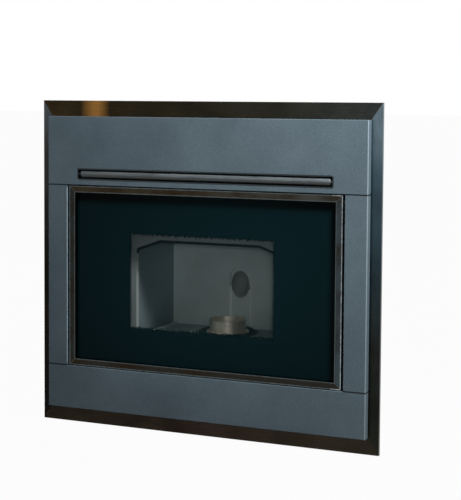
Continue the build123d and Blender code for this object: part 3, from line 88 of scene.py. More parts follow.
# %% A socket that can be used in sums
class Wire:
    """One output socket of a finish, which can be used in sums."""

    def __init__(self, finish, socket):
        self.finish = finish
        self.socket = socket

    def sum(self, operation, first, second):
        return self.finish.node("ShaderNodeMath", {"operation": operation}, {0: first, 1: second})

    def __add__(self, other):
        return self.sum("ADD", self, other)

    __radd__ = __add__

    def __mul__(self, other):
        return self.sum("MULTIPLY", self, other)

    __rmul__ = __mul__

    def __sub__(self, other):
        return self.sum("SUBTRACT", self, other)

    def __rsub__(self, other):
        return self.sum("SUBTRACT", other, self)

    def __lt__(self, other):
        return self.sum("LESS_THAN", self, other)

    def __gt__(self, other):
        return self.sum("GREATER_THAN", self, other)

    def size(self):
        """The value without its sign."""
        return self.sum("ABSOLUTE", self, 0.0)

    def root(self):
        """The square root."""
        return self.finish.node("ShaderNodeMath", {"operation": "SQRT"}, {0: self})

    def least(self, other):
        return self.sum("MINIMUM", self, other)

    def most(self, other):
        return self.sum("MAXIMUM", self, other)

    def between(self, low, high):
        """0 at low and 1 at high, kept within 0 and 1, with soft ends."""
        sockets = {"Value": self, "From Min": low, "From Max": high}
        return self.finish.node("ShaderNodeMapRange", {"interpolation_type": "SMOOTHSTEP"}, sockets)


# %% A material that makes its own nodes
class Finish:
    """One material: a Principled shader and the nodes that feed it."""

    def __init__(self, name, colour, roughness, metallic=0.0, **values):
        self.material = bpy.data.materials.new(name)
        self.material.use_nodes = True
        self.tree = self.material.node_tree
        self.shader = self.tree.nodes["Principled BSDF"]
        self.feed("Base Color", (*colour, 1.0))
        self.feed("Roughness", roughness)
        self.feed("Metallic", metallic)
        for socket, value in values.items():
            self.feed(socket.replace("_", " "), value)

    def feed(self, socket, value):
        """Set a shader socket to a number or colour, or link a wire to it."""
        self.connect(self.shader.inputs[socket], value)

    def connect(self, socket, value):
        if isinstance(value, Wire):
            self.tree.links.new(value.socket, socket)
        else:
            socket.default_value = value

    def node(self, kind, settings=None, sockets=None, output=0):
        """Make a node, apply its settings, fill its sockets and return one of its outputs."""
        made = self.tree.nodes.new(kind)
        for name, value in (settings or {}).items():
            if name == "stops":
                self.fill_ramp(made.color_ramp, value)
            else:
                setattr(made, name, value)
        for name, value in (sockets or {}).items():
            self.connect(made.inputs[name], value)
        return Wire(self, made.outputs[output])

    def fill_ramp(self, ramp, stops):
        while len(ramp.elements) < len(stops):
            ramp.elements.new(0.5)
        for element, (place, colour) in zip(ramp.elements, stops):
            element.position = place
            element.color = (*colour, 1.0)

    def place(self):
        """Position in the row frame, in metres, as three wires."""
        where = self.node("ShaderNodeTexCoord", output="Object")
        parts = self.node("ShaderNodeSeparateXYZ", sockets={0: where}).socket.node
        return [Wire(self, socket) for socket in parts.outputs]

    def stretched(self, x, y, z):
        """The position, scaled along each axis."""
        where = self.node("ShaderNodeTexCoord", output="Object")
        sockets = {0: where, 1: (x, y, z)}
        return self.node("ShaderNodeVectorMath", {"operation": "MULTIPLY"}, sockets)

    def noise(self, scale, detail=2.0, along=(1.0, 1.0, 1.0)):
        """Cloudy noise from 0 to 1, in real size: scale is in bumps per metre."""
        sockets = {"Vector": self.stretched(*along), "Scale": scale, "Detail": detail}
        return self.node("ShaderNodeTexNoise", sockets=sockets)

    def mix(self, factor, first, second):
        """A colour between two colours."""
        sockets = {0: factor, 6: self.rgba(first), 7: self.rgba(second)}
        return self.node("ShaderNodeMix", {"data_type": "RGBA"}, sockets, output=2)

    def rgba(self, colour):
        return colour if isinstance(colour, Wire) else (*colour, 1.0)

    def bump(self, height, depth, strength=1.0):
        """Dents of this depth in metres, where height runs from 0 to 1."""
        sockets = {"Height": height, "Distance": depth, "Strength": strength}
        self.feed("Normal", self.node("ShaderNodeBump", sockets=sockets))


# %% [markdown]
# Colours on a screen are stored with a curve, but a shader works in plain light. `tone` turns the
# numbers that a paint card gives, from 0 to 255, into light.

# %% Colours from a paint card
def tone(red, green, blue):
    """Linear colour of a screen colour given in steps of 255."""
    return tuple(((step / 255 + 0.055) / 1.055) ** 2.4 if step > 10 else step / 255 / 12.92
                 for step in (red, green, blue))


def dress(names, finish):
    """Give a finish to CAD nodes."""
    for name in names.split():
        mesh = nodes[name].data
        mesh.materials.clear()
        mesh.materials.append(finish.material)
    print(finish.material.name, "on", names)


print("mid grey is", [round(value, 3) for value in tone(128, 128, 128)])

# %% [markdown]
# ## Surround panels
#
# The four pans round the door are folded from 2 mm sheet and powder coated in a blue-grey with a
# fine texture. Powder coat flows before it sets, so its surface is a field of tiny rounded grains.
# Two sizes of noise make that: coarse grains that catch the light and a finer one that only
# speckles the colour.
#
# Two things depend on where we are on the panels. The two seams beside the door carry painted
# shade, and the folded edges carry a painted highlight. Both are distances from a line, turned
# into 0 or 1.

# %% Textured blue-grey powder coat
seam_high, seam_low, seam_half = 0.5456, 0.1359, 0.0016
strip_inner, fold_left = 0.3270, 0.3292
fold_outer, fold_front = 0.3743, -0.2565
door_mid, fold_reach = 0.34075, 0.198
powder = Finish("powder_blue_grey", tone(92, 106, 115), 0.5, Specular_IOR_Level=0.1)
grain = powder.noise(620.0, 3.0)
speck = powder.noise(1500.0, 2.0)
cloud = powder.noise(7.0, 3.0)
shade = grain * 0.5 + speck * 0.25 + cloud * 0.25
coat = powder.mix(shade.between(0.3, 0.7), tone(70, 84, 92), tone(108, 124, 133))
px, py, pz = powder.place()
beside_door = px.size() > strip_inner
# Painted shade in the two seams beside the door.
upper_seam = (pz - seam_high).size() < seam_half
seam_shade = upper_seam.most((pz - seam_low).size() < seam_half) * beside_door
# Painted highlight along the folded edges.
outer_fold = (px > fold_outer) * (py < fold_front)
left_fold = (px > -fold_left) * (px < -strip_inner) * ((pz - door_mid).size() < fold_reach)
fold_highlight = powder.mix(outer_fold.most(left_fold) * 0.5, coat, tone(156, 170, 178))
powder.feed("Base Color", powder.mix(seam_shade * 0.85, fold_highlight, tone(24, 30, 33)))
powder.feed("Roughness", 0.62 - grain * 0.2)
powder.bump(grain * 0.7 + speck * 0.3, 0.0005, 0.6)
dress("panel_top panel_left panel_right panel_bottom", powder)

# %% [markdown]
# ## Smoked nickel trim
#
# Four mitred strips frame the panels. They are polished steel, plated and then smoked dark. Along
# each strip runs a painted reflection: bronze on the top and bottom strips, with a painted amber
# glint near the left of the top one, and steel blue towards the top of the upright ones. Each strip
# gets its own run of painted tints along its length, over the same base: a metal whose roughness
# follows fine polishing lines.

# %% One strip's finish
def smoked(name, axis, start, end, stops, lines):
    """Smoked nickel whose painted reflection runs through the stops, start to end, on one axis."""
    finish = Finish(name, stops[0][1], 0.2, 1.0)
    run = {"Value": finish.place()[axis], "From Min": start, "From Max": end}
    along = finish.node("ShaderNodeMapRange", sockets=run)
    # The stops paint the reflection along the strip.
    tint = finish.node("ShaderNodeValToRGB", {"stops": stops}, {0: along})
    smoke = finish.noise(9.0, 4.0)
    polish = finish.noise(90.0, 5.0, lines)
    darker = finish.mix(0.45, tint, (0.0, 0.0, 0.0))
    clear = (smoke * 0.6 + polish * 0.4).between(0.35, 0.62)
    finish.feed("Base Color", finish.mix(clear, darker, tint))
    finish.feed("Roughness", 0.14 + polish * 0.16 + smoke * 0.06)
    finish.bump(polish, 0.00004, 0.5)
    return finish


# %% Four strips, each with its own run of painted reflection tints
trim_low, trim_high = [corner.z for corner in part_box("trim_left")]
trim_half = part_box("trim_top")[1].x
across = (0, -trim_half, trim_half)
upright = (2, trim_low, trim_high)
across_lines = (0.4, 12.0, 12.0)
upright_lines = (12.0, 12.0, 0.4)
# Every tint below is a painted reflection; the glint is a painted highlight on the top strip.
bronze = tone(46, 38, 25)
glint = tone(160, 115, 60)
top_reflection_stops = [
    (0.0, tone(52, 42, 27)), (0.12, bronze), (0.16, glint), (0.175, glint), (0.21, bronze),
    (0.3, tone(42, 37, 27)), (0.7, tone(42, 41, 35)), (1.0, tone(56, 60, 58)),
]
dress("trim_top", smoked("smoked_nickel_top", *across, top_reflection_stops, across_lines))
bottom_reflection_stops = [(0.0, tone(38, 33, 26)), (0.5, tone(44, 36, 31)), (1.0, tone(45, 40, 33))]
dress("trim_bottom", smoked("smoked_nickel_bottom", *across, bottom_reflection_stops, across_lines))
right_reflection_stops = [
    (0.0, tone(36, 38, 33)), (0.3, tone(34, 37, 35)), (0.55, tone(40, 54, 60)),
    (0.8, tone(62, 80, 89)), (0.95, tone(104, 122, 132)), (1.0, tone(112, 128, 134)),
]
dress("trim_right", smoked("smoked_nickel_right", *upright, right_reflection_stops, upright_lines))
left_reflection_stops = [
    (0.0, tone(22, 20, 18)), (0.5, tone(26, 24, 21)),
    (0.85, tone(50, 49, 47)), (1.0, tone(76, 82, 86)),
]
dress("trim_left", smoked("smoked_nickel_left", *upright, left_reflection_stops, upright_lines))

# %% [markdown]
# ## Black paint
#
# The steel behind the panels, the glass's retainer, the hinges and the latch wear a black
# heat-proof paint. It is not quite black: handling leaves it a little lighter and glossier in
# places, so one cloudy noise drives both the colour and the roughness.

# %% Heat-proof black paint
def black_paint(name, colour, roughness, grains, depth, specular):
    """Black stove paint with a grain of its own, a little rubbed."""
    finish = Finish(name, colour, roughness, Specular_IOR_Level=specular)
    grain = finish.noise(grains, 3.0)
    rub = finish.noise(14.0, 4.0)
    lighter = tuple(part * 1.9 + 0.004 for part in colour)
    finish.feed("Base Color", finish.mix(rub.between(0.35, 0.75), colour, lighter))
    finish.feed("Roughness", roughness + 0.12 - rub * 0.22)
    finish.bump(grain, depth, 0.4)
    return finish


dress(
    "front_frame glass_retainer hinge_brackets hinge_bushes latch_dog",
    black_paint("matt_black_steel", tone(34, 34, 35), 0.6, 700.0, 0.0002, 0.35),
)

# %% [markdown]
# ## Door frame and air grille
#
# The door frame is rolled steel, darkened like the trim, with a bead along both of its edges. Its
# colour carries painted light: the right post is lighter than the left, the top rail is lighter
# than the bottom one and runs from a warm to a cool painted reflection, and the beads carry
# painted highlights, brightest on the right post. How deep a point lies inside the frame is the
# smaller of its distances from the sides and from the top or bottom; where those two are equal the
# corners are mitred. That one depth places the beads and the dark reveal in front of the glass.
#
# The grille is a dark rim round a lighter blade that throws the air forwards. The rim's dark
# colour is painted shade for the gap round it; the blade carries a painted sheen that brightens
# towards the right and painted shade on its lower part. The rim is the part that stands furthest
# forward, so one depth tells it from the blade.

# %% Mitred door frame with beads and painted highlights
frame_half, frame_low, frame_high = 0.3225, 0.1375, 0.544
bead_wide, inner_bead_at, rail_wide = 0.0024, 0.0126, 0.0148
reveal_front, mitre_half, right_post = -0.2585, 0.0009, 0.3
warm_end, cool_end = -0.1, 0.3
steel = Finish("darkened_frame_steel", tone(45, 50, 50), 0.26, 1.0)
fx, fy, fz = steel.place()
from_side = frame_half - fx.size()
from_rail = (frame_high - fz).least(fz - frame_low)
inside = from_side.least(from_rail)
on_post = from_side < from_rail
patches = steel.noise(26.0, 5.0, (0.5, 1.0, 0.5)).between(0.38, 0.68)
# Painted light: the right post lighter, the top rail a warm to cool painted reflection, the bottom
# rail darker.
posts = steel.mix(fx > 0.0, tone(38, 43, 43), tone(54, 64, 68))
top_rail = steel.mix(fx.between(warm_end, cool_end), tone(50, 44, 35), tone(62, 63, 58))
rails = steel.mix(fz > door_mid, tone(38, 37, 33), top_rail)
member = steel.mix(on_post, rails, posts)
patched = steel.mix(patches * 0.8, member, tone(36, 28, 18))
streaks = steel.noise(120.0, 3.0).between(0.3, 0.7)
# Painted highlights on the beads, brightest on the right post.
bead_highlight = steel.mix(fx > right_post, tone(86, 96, 98), tone(158, 168, 170))
beaded = steel.mix((inside < bead_wide) * (0.35 + streaks * 0.5), patched, bead_highlight)
inner_bead = (inside > inner_bead_at) * (inside < rail_wide) * (0.35 + streaks * 0.35)
ringed = steel.mix(inner_bead, beaded, tone(84, 92, 94))
mitre = ((from_side - from_rail).size() < mitre_half) * 0.5
lined = steel.mix(mitre, ringed, tone(92, 98, 98))
reveal = (inside > rail_wide) * (fy > reveal_front)
steel.feed("Base Color", steel.mix(reveal, lined, tone(8, 20, 22)))
steel.feed("Roughness", 0.2 + patches * 0.16)
steel.bump(streaks, 0.00004, 0.4)
dress("door_frame", steel)

# %% Grille with a light blade, painted sheen and painted shade
blade_half, blade_low, blade_high, rim_front = 0.3, 0.565, 0.572, -0.2588
grille = Finish("air_grille_steel", tone(60, 66, 69), 0.34, 1.0)
rx, ry, rz = grille.place()
fleck = grille.noise(420.0, 3.0)
brushed = grille.noise(160.0, 4.0, (0.3, 6.0, 6.0))
# Painted sheen: the blade lightens towards the right, and painted shade darkens its lower part.
sheen_along_blade = rx.between(-blade_half, blade_half)
upper = grille.mix(sheen_along_blade, tone(84, 91, 94), tone(132, 141, 145))
blade = grille.mix(rz.between(blade_low, blade_high), tone(76, 82, 84), upper)
dulled = grille.mix(brushed.between(0.35, 0.7) * 0.5, blade, tone(44, 49, 51))
# The rim is painted dark as the shade of the gap round it.
rim = grille.mix(fleck, tone(40, 45, 47), tone(62, 68, 71))
grille.feed("Base Color", grille.mix(ry < rim_front, dulled, rim))
grille.feed("Roughness", 0.34 + fleck * 0.16)
grille.bump(brushed, 0.0001, 0.3)
dress("air_grille", grille)

# %% [markdown]
# ## Printed stove glass
#
# The ceramic glass is printed black on its back, except for a clear window. The print ends in
# rows of strokes and dots that thin out, which hides the edge when the fire burns. One number says
# everything: how far a point lies outside the window. Jitter added to that distance roughens the
# edge, tall thin noise makes strokes at the top and round cells make dots along the bottom, and
# the result becomes the glass's alpha. The clear window keeps a little of the tint as a veil.

# %% Black print with a clear window
glass = Finish("printed_glass", tone(6, 27, 31), 0.06, Specular_IOR_Level=0.02)
gx, _, gz = glass.place()
window_mid, window_half, window_low, window_high = -0.0036, 0.1715, 0.2318, 0.442
print_fade, veil = (-0.0048, 0.0034), 0.28
outside_side = (gx - window_mid).size() - window_half
outside_top = gz - window_high
outside_low = window_low - gz
strokes = glass.noise(230.0, 1.0, (1.0, 0.0, 0.06)) - 0.5
dots = {"Vector": glass.stretched(1.0, 0.0, 1.0), "Scale": 240.0}
cells = glass.node("ShaderNodeTexVoronoi", {"feature": "F1"}, dots)
fuzz = glass.noise(520.0, 2.0, (1.0, 0.0, 1.0)) - 0.5
side_edge = outside_side + fuzz * 0.010
top_edge = outside_top + strokes * 0.018 + fuzz * 0.004
low_edge = outside_low - (cells - 0.35) * 0.007
edge = side_edge.most(top_edge).most(low_edge)
glass.feed("Alpha", edge.between(*print_fade) * (1.0 - veil) + veil)
glass.feed("Roughness", 0.05 + glass.noise(5.0, 3.0) * 0.06)
dress("door_glass", glass)

# %% [markdown]
# ## Inside the firebox
#
# The firebox is pressed from sheet and painted a light heat-proof grey. Fire leaves a film of ash
# on it, thicker low down and near the floor. The back lining is a pressed vermiculite board: the
# same grey, but with flecks of mica in it and a softer surface. The floor carries a ring of painted
# shade, coloured like soot, at a set distance from the pot's axis, for the gap round the burn pot.
# The pressed groove in the back board has a painted highlight along its edge with a band of
# painted shade inside it, the top of the rolled lip round the mouth is black, and the lip's sides
# carry a painted highlight.

# %% Grey firebox paint with ash on it
pot_x, pot_y, floor_top = -0.008, -0.082, 0.2135
gap_shade_start, gap_shade_end = (0.046, 0.050), (0.062, 0.076)
ash_low, ash_high = 0.20, 0.34


def ash_grey(name, colour, roughness, flecks):
    """Light grey that darkens in clouds, with ash low down and flecks of its own."""
    finish = Finish(name, colour, roughness, Specular_IOR_Level=0.25)
    x, y, z = finish.place()
    cloud = finish.noise(6.0, 5.0)
    grain = finish.noise(flecks, 3.0)
    soot = tuple(part * 0.66 for part in colour)
    low = 1.0 - z.between(ash_low, ash_high)
    amount = (cloud * 0.8 + grain * 0.4 + low * 0.12 - 0.2).between(0.25, 0.75)
    # Painted shade: a dark ring on the floor round the pot's axis, for the gap round the burn pot.
    aside, behind = x - pot_x, y - pot_y
    reach = (aside * aside + behind * behind).root()
    faded = reach.between(gap_shade_end[0], gap_shade_end[1] + cloud * 0.01)
    ring = reach.between(*gap_shade_start) * (1.0 - faded)
    ashy = finish.mix(amount, colour, soot)
    finish.skin = finish.mix(ring * (z < floor_top) * 0.85, ashy, tone(28, 28, 27))
    finish.feed("Base Color", finish.skin)
    finish.feed("Roughness", roughness + grain * 0.1)
    finish.bump(grain * 0.7 + cloud * 0.3, 0.0005, 0.35)
    return finish


firebox_grey = ash_grey("firebox_grey", tone(142, 158, 162), 0.7, 520.0)
liner_grey = ash_grey("vermiculite_grey", tone(200, 216, 213), 0.85, 260.0)
sooted_tube = ash_grey("sooted_tube", tone(150, 154, 152), 0.8, 400.0)
dress("firebox_shell heat_tubes intake_pipe pot_holder", firebox_grey)
dress("baffle_plate ash_pan", liner_grey)
dress("pellet_chute", sooted_tube)

# %% Back board with painted shade and a painted highlight at the groove edge
groove_x, groove_z, groove_half = -0.008, 0.29425, 0.026
edge_highlight_half, shade_reach = 0.0014, 0.0065
board = ash_grey("back_board_grey", tone(200, 216, 213), 0.85, 260.0)
bx, _, bz = board.place()
beside, above = bx - groove_x, (bz - groove_z).most(0.0)
from_groove = (beside * beside + above * above).root() - groove_half
# Painted shade in a band inside the groove's edge.
in_shade = (from_groove > -shade_reach) * (from_groove < -edge_highlight_half) * (bz > groove_z)
shaded_board = board.mix(in_shade * 0.6, board.skin, tone(96, 104, 103))
# Painted highlight along the groove's edge.
groove_edge_highlight = from_groove.size() < edge_highlight_half
board.feed("Base Color", board.mix(groove_edge_highlight * 0.8, shaded_board, tone(246, 250, 248)))
dress("firebox_back", board)

# %% Firebox front with a black lip top and painted highlights on the lip's sides
lip_front, lip_shoulder, lip_side = -0.2081, 0.392, 0.174
front = Finish("firebox_front_paint", tone(150, 162, 163), 0.7, Specular_IOR_Level=0.25)
mx, my, mz = front.place()
haze = front.noise(9.0, 4.0)
pressed = front.mix(haze.between(0.3, 0.7), tone(152, 165, 166), tone(172, 184, 185))
on_lip = my > lip_front
# The top of the lip is painted black.
sooted = front.mix(on_lip * (mz > lip_shoulder), pressed, tone(14, 16, 16))
# Painted highlight down the lip's sides.
lip_sides = (mx.size() > lip_side) * (mz < lip_shoulder)
lip_side_highlight = on_lip * lip_sides * (0.6 + haze * 0.4)
front.feed("Base Color", front.mix(lip_side_highlight, sooted, tone(206, 214, 212)))
front.feed("Roughness", 0.6 + haze * 0.2)
front.bump(front.noise(520.0, 3.0), 0.0003, 0.35)
dress("firebox_front", front)

# %% [markdown]
# ## Bare metals
#
# Zinc-plated sheet shows flat crystals, the spangle, in slightly different greys. Cast aluminium
# is duller and pitted, drawn steel has fine lines along its length and the turned stainless burn
# pot has rings round its axis, which pull its highlights into bright upright bars. A film of ash
# dulls the pot in clouds: where it lies, the surface is less metallic.

# %% Spangled zinc sheet
zinc = Finish("zinc_sheet", tone(128, 132, 134), 0.6, 0.75)
flakes = {"Scale": 70.0, "Vector": zinc.stretched(1, 1, 1)}
spangle = zinc.node("ShaderNodeTexVoronoi", {"feature": "F1"}, flakes, "Color")
crystal = zinc.node("ShaderNodeSeparateColor", sockets={0: spangle})
dust = zinc.noise(16.0, 4.0)
speckled = crystal * 0.7 + dust * 0.3
zinc.feed("Base Color", zinc.mix(speckled, tone(106, 111, 114), tone(142, 146, 148)))
zinc.feed("Roughness", 0.54 + crystal * 0.12 + dust * 0.1)
zinc.bump(zinc.noise(240.0, 2.0), 0.00006, 0.3)
dress(
    "base_frame rear_dock flue_spigot air_spigot floor_tray side_panel_left side_panel_right "
    "rear_panel top_cover hopper hopper_lid auger_tube smoke_duct room_fan_housing",
    zinc,
)


# %% Drawn and cast metals
def bare_metal(name, colour, roughness, scale, lines, depth):
    """Bare metal with grain along its making direction."""
    finish = Finish(name, colour, roughness, 1.0)
    grain = finish.noise(scale, 4.0, lines)
    stain = finish.noise(22.0, 3.0)
    dull = tuple(part * 0.7 for part in colour)
    clean = (grain * 0.5 + stain * 0.5).between(0.3, 0.7)
    finish.feed("Base Color", finish.mix(clean, dull, colour))
    finish.feed("Roughness", roughness - 0.06 + grain * 0.14)
    finish.bump(grain, depth, 0.4)
    return finish


even = (1, 1, 1)
dress(
    "rail_outer_left rail_outer_right rail_mid_left rail_mid_right "
    "rail_inner_left rail_inner_right",
    bare_metal("drawn_steel", tone(158, 160, 160), 0.28, 160.0, (8.0, 0.3, 8.0), 0.00005),
)
dress(
    "auger_screw smoke_impeller igniter",
    bare_metal("plain_steel", tone(150, 150, 148), 0.34, 140.0, even, 0.00006),
)
dress(
    "smoke_fan_housing",
    bare_metal("cast_aluminium", tone(160, 162, 163), 0.5, 420.0, even, 0.0003),
)
dress(
    "smoke_fan_motor room_fan_motor auger_gearmotor",
    bare_metal("motor_can", tone(96, 98, 100), 0.38, 120.0, (0.5, 6, 6), 0.00005),
)

# %% Turned burn pot with a film of ash
turned = (0.6, 0.6, 14.0)
pot_metal = bare_metal("turned_stainless", tone(242, 236, 218), 0.36, 90.0, turned, 0.00002)
ash_film = pot_metal.noise(30.0, 4.0)
pot_metal.feed("Metallic", 0.75 - ash_film.between(0.35, 0.65) * 0.25)
dress("burn_pot", pot_metal)

# %% [markdown]
# ## Rope seals
#
# The door and the docking plate close on knitted glass-fibre rope. Its weave is two sets of ridges
# that cross at a slant, so two wave patterns at opposite slants are multiplied.

# %% Knitted rope
rope = Finish("knitted_rope", tone(150, 146, 138), 0.95, Specular_IOR_Level=0.1)


def ridges(lean):
    """One set of slanting ridges."""
    sockets = {"Vector": rope.stretched(1.0, lean, 1.0), "Scale": 60.0, "Distortion": 0.6}
    return rope.node("ShaderNodeTexWave", {"bands_direction": "DIAGONAL"}, sockets, "Fac")


knit = ridges(1.0) * ridges(-1.0)
wisps = rope.noise(900.0, 3.0)
rope.feed("Base Color", rope.mix(knit * 0.7 + wisps * 0.3, tone(96, 93, 86), tone(176, 172, 162)))
rope.bump(knit * 0.8 + wisps * 0.2, 0.0005, 0.8)
dress("dock_gaskets", rope)

# %% [markdown]
# The door's rope is a flat braid of three strands. A braid is two swings at once: a strand goes
# from side to side once per turn while it goes up and down twice, and the three strands are a
# third of a turn apart. The path runs round the seal's own rounded rectangle, so the braid takes
# the place of the plain CAD ring and stays inside its box.

# %% The line that the rope follows
seal_low, seal_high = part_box("door_seal")
seal_width, seal_corner = 0.010, 0.016
seal_middle = (seal_low + seal_high) / 2
seal_reach = ((seal_high.x - seal_width / 2), (seal_high.z - seal_low.z - seal_width) / 2)
perimeter = 4 * (sum(seal_reach) - 2 * seal_corner) + 2 * pi * seal_corner


def round_the_door(distance):
    """The point at this distance along the seal's middle line, and the direction outwards."""
    for turn in range(4):
        angle = turn * pi / 2
        outward, ahead = Vector((cos(angle), 0, sin(angle))), Vector((-sin(angle), 0, cos(angle)))
        reach, straight = seal_reach[turn % 2], 2 * (seal_reach[1 - turn % 2] - seal_corner)
        if distance < straight:
            return seal_middle + outward * reach + ahead * (distance - straight / 2), outward
        distance -= straight
        if distance < seal_corner * pi / 2 or turn == 3:
            swing = angle + distance / seal_corner
            middle = seal_middle + outward * (reach - seal_corner) + ahead * (straight / 2)
            outward = Vector((cos(swing), 0, sin(swing)))
            return middle + outward * seal_corner, outward
        distance -= seal_corner * pi / 2


print("rope line", round(perimeter, 3), "m long")

# %% [markdown]
# Every added piece is made the same way: rings of points are skinned with faces, and the result
# gets a finish and the body it moves with. Three small functions do that for the rope here, and for
# the blade's nose and the screws later.

# %% From rings of points to a piece
def show(name, data):
    """Put new data into the scene as an object."""
    shown = bpy.data.objects.new(name, data)
    bpy.context.scene.collection.objects.link(shown)
    return shown


def new_piece(name, made, finish, carrier, smooth=True):
    """Turn a bmesh into a piece with a finish that rides its carrier's body."""
    mesh = bpy.data.meshes.new(name)
    for face in made.faces:
        face.smooth = smooth
    bmesh.ops.recalc_face_normals(made, faces=made.faces)
    made.to_mesh(mesh)
    made.free()
    mesh.materials.append(finish.material)
    piece = show(name, mesh)
    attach(piece, body_of(nodes[carrier])[0])
    return piece


def skin_rings(made, rings, closed):
    """Faces between rings of points, each ring joined to the next."""
    corners = [[made.verts.new(point) for point in ring] for ring in rings]
    for first, second in zip(corners, corners[1:] + corners[:1] * closed):
        for here in range(len(first)):
            after = (here + 1) % len(first)
            made.faces.new((first[here], first[after], second[after], second[here]))
    return corners


# %% Braided door rope
braid_turns, steps_per_turn, strand_sides = 64, 11, 6
side_swing, depth_swing, strand_radius = 0.0029, 0.0009, 0.0019
braid = bmesh.new()
around = [2 * pi * side / strand_sides for side in range(strand_sides)]
for strand in range(3):
    rings = []
    for step in range(braid_turns * steps_per_turn):
        phase = 2 * pi * (step / steps_per_turn + strand / 3)
        point, outward = round_the_door(perimeter * step / (braid_turns * steps_per_turn))
        swing = Vector((0, depth_swing * sin(2 * phase), 0))
        point = point + outward * side_swing * sin(phase) + swing
        rings.append([
            point + (outward * cos(angle) + Vector((0, sin(angle), 0))) * strand_radius
            for angle in around
        ])
    skin_rings(braid, rings, True)
door_rope = new_piece("braided_door_rope", braid, rope, "door_seal")
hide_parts("door_seal")
print("rope", braid_turns, "turns,", len(door_rope.data.polygons), "faces")

# %% [markdown]
# ## Rolled nose of the grille's blade
#
# The blade that throws the air forwards ends in a rolled nose. It fills most of the slot's height
# and leaves a dark gap of nearly 3 mm above and below. Its section is half an ellipse, and the
# last few millimetres at each end shrink to a rounded tip. The lower half faces away from the
# light, so its colour is darker below the middle line.

# %% Rolled blade nose
nose_half, nose_high, nose_bulge, nose_back, nose_tip = 0.2955, 0.0078, 0.004, -0.2548, 0.004
nose_steps, tip_size = 12, 0.08
grille_low, grille_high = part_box("air_grille")
nose_mid = (grille_low.z + grille_high.z) / 2
tips = [0.0, 0.08, 0.25, 0.5, 1.0]
stations = [(-nose_half + nose_tip * tip, (1 - (1 - tip) ** 2) ** 0.5) for tip in tips]
stations += [(-x, size) for x, size in reversed(stations)]
section = [pi * step / nose_steps - pi / 2 for step in range(nose_steps + 1)]
nose = bmesh.new()
rings = []
for x, size in stations:
    bulge, high = nose_bulge * max(size, tip_size), nose_high * max(size, tip_size)
    rings.append([
        Vector((x, nose_back - bulge * cos(angle), nose_mid + high * sin(angle)))
        for angle in section
    ])
corners = skin_rings(nose, rings, False)
nose.faces.new(corners[0][::-1])
nose.faces.new(corners[-1])
print("nose", len(rings), "rings from", -nose_half, "to", nose_half, "m")

# %% Brushed nose, darker below
nose_paint = Finish("blade_nose_paint", tone(78, 85, 88), 0.36)
brush = nose_paint.noise(150.0, 4.0, (0.25, 5.0, 5.0))
cloudy = nose_paint.noise(12.0, 3.0)
lit = (brush * 0.6 + cloudy * 0.4).between(0.34, 0.62)
shaded = nose_paint.mix(lit, tone(52, 58, 61), tone(92, 100, 103))
nose_shade = (nose_mid - 0.0015, nose_mid + 0.0005)
under = 1.0 - nose_paint.place()[2].between(*nose_shade)
nose_paint.feed("Base Color", nose_paint.mix(under * 0.75, shaded, tone(22, 25, 26)))
nose_paint.feed("Roughness", 0.28 + brush * 0.2)
nose_paint.bump(brush, 0.00005, 0.4)
new_piece("rolled_blade_nose", nose, nose_paint, "air_grille")
print(nose_paint.material.name, "on rolled_blade_nose")

# %% [markdown]
# ## Casing screws
#
# The casing's sheets are held by hexagon screws with a pressed-on washer. Each head is a stack of
# rings: round for the washer, six-sided for the head. A screw finds its own seat by casting a ray
# at its panel, so it always sits on the metal, and it is skipped where the ray meets a hole.

# %% Hexagon washer screws
screw_metal = bare_metal("screw_steel", tone(146, 148, 146), 0.4, 300.0, even, 0.00003)
ring_points = 24
# Each ring: radius, height, and whether it is six-sided.
head_rings = [
    (0.0048, 0.0, False), (0.0048, 0.0007, False),
    (0.0034, 0.0008, True), (0.0034, 0.0026, True),
    (0.0028, 0.003, False),
]


def head_radius(radius, angle, six_sided):
    """The radius of a ring at an angle, where a six-sided ring's flats lie at the radius."""
    return radius / cos(angle % (pi / 3) - pi / 6) if six_sided else radius


def screws(panel, starts, towards):
    """Screws on one panel, seated by rays from the starting points."""
    made, seated = bmesh.new(), 0
    angles = [2 * pi * point / ring_points for point in range(ring_points)]
    out = -Vector(towards)
    aside = out.orthogonal().normalized()
    across = out.cross(aside)
    for start in starts:
        hit, seat, _, _ = nodes[panel].ray_cast(Vector(start), Vector(towards))
        if not hit:
            continue
        seated += 1
        rings = []
        for radius, height, six_sided in head_rings:
            reach = [head_radius(radius, angle, six_sided) for angle in angles]
            rings.append([
                seat + out * height + (aside * cos(angle) + across * sin(angle)) * far
                for angle, far in zip(angles, reach)
            ])
        corners = skin_rings(made, rings, False)
        made.faces.new(corners[-1])
        made.faces.new(corners[0][::-1])
    new_piece("screws_" + panel, made, screw_metal, panel, smooth=False)
    print(panel, seated, "screws")


# %% Seat the screws
bpy.context.view_layer.update()
far_out = 1.0
screw_heights = (0.07, 0.26, 0.45, 0.645)
rear_columns, side_columns = (-0.242, 0.242), (-0.2, 0.165)
top_columns, top_rows = (-0.25, 0.25), (-0.18, 0.0, 0.17)
rear_starts = [(x, far_out, z) for x in rear_columns for z in screw_heights]
screws("rear_panel", rear_starts, (0, -1, 0))
for panel, side in (("side_panel_left", -1), ("side_panel_right", 1)):
    side_starts = [(side * far_out, y, z) for y in side_columns for z in screw_heights]
    screws(panel, side_starts, (-side, 0, 0))
screws("top_cover", [(x, y, far_out) for x in top_columns for y in top_rows], (0, 0, -1))

# %% [markdown]
# ## Plastics
#
# The fan drum, the control box and the mains inlet are moulded plastic, with the fine
# spark-eroded skin of their moulds, and a little dust. The rocker is the same black, but glossy.

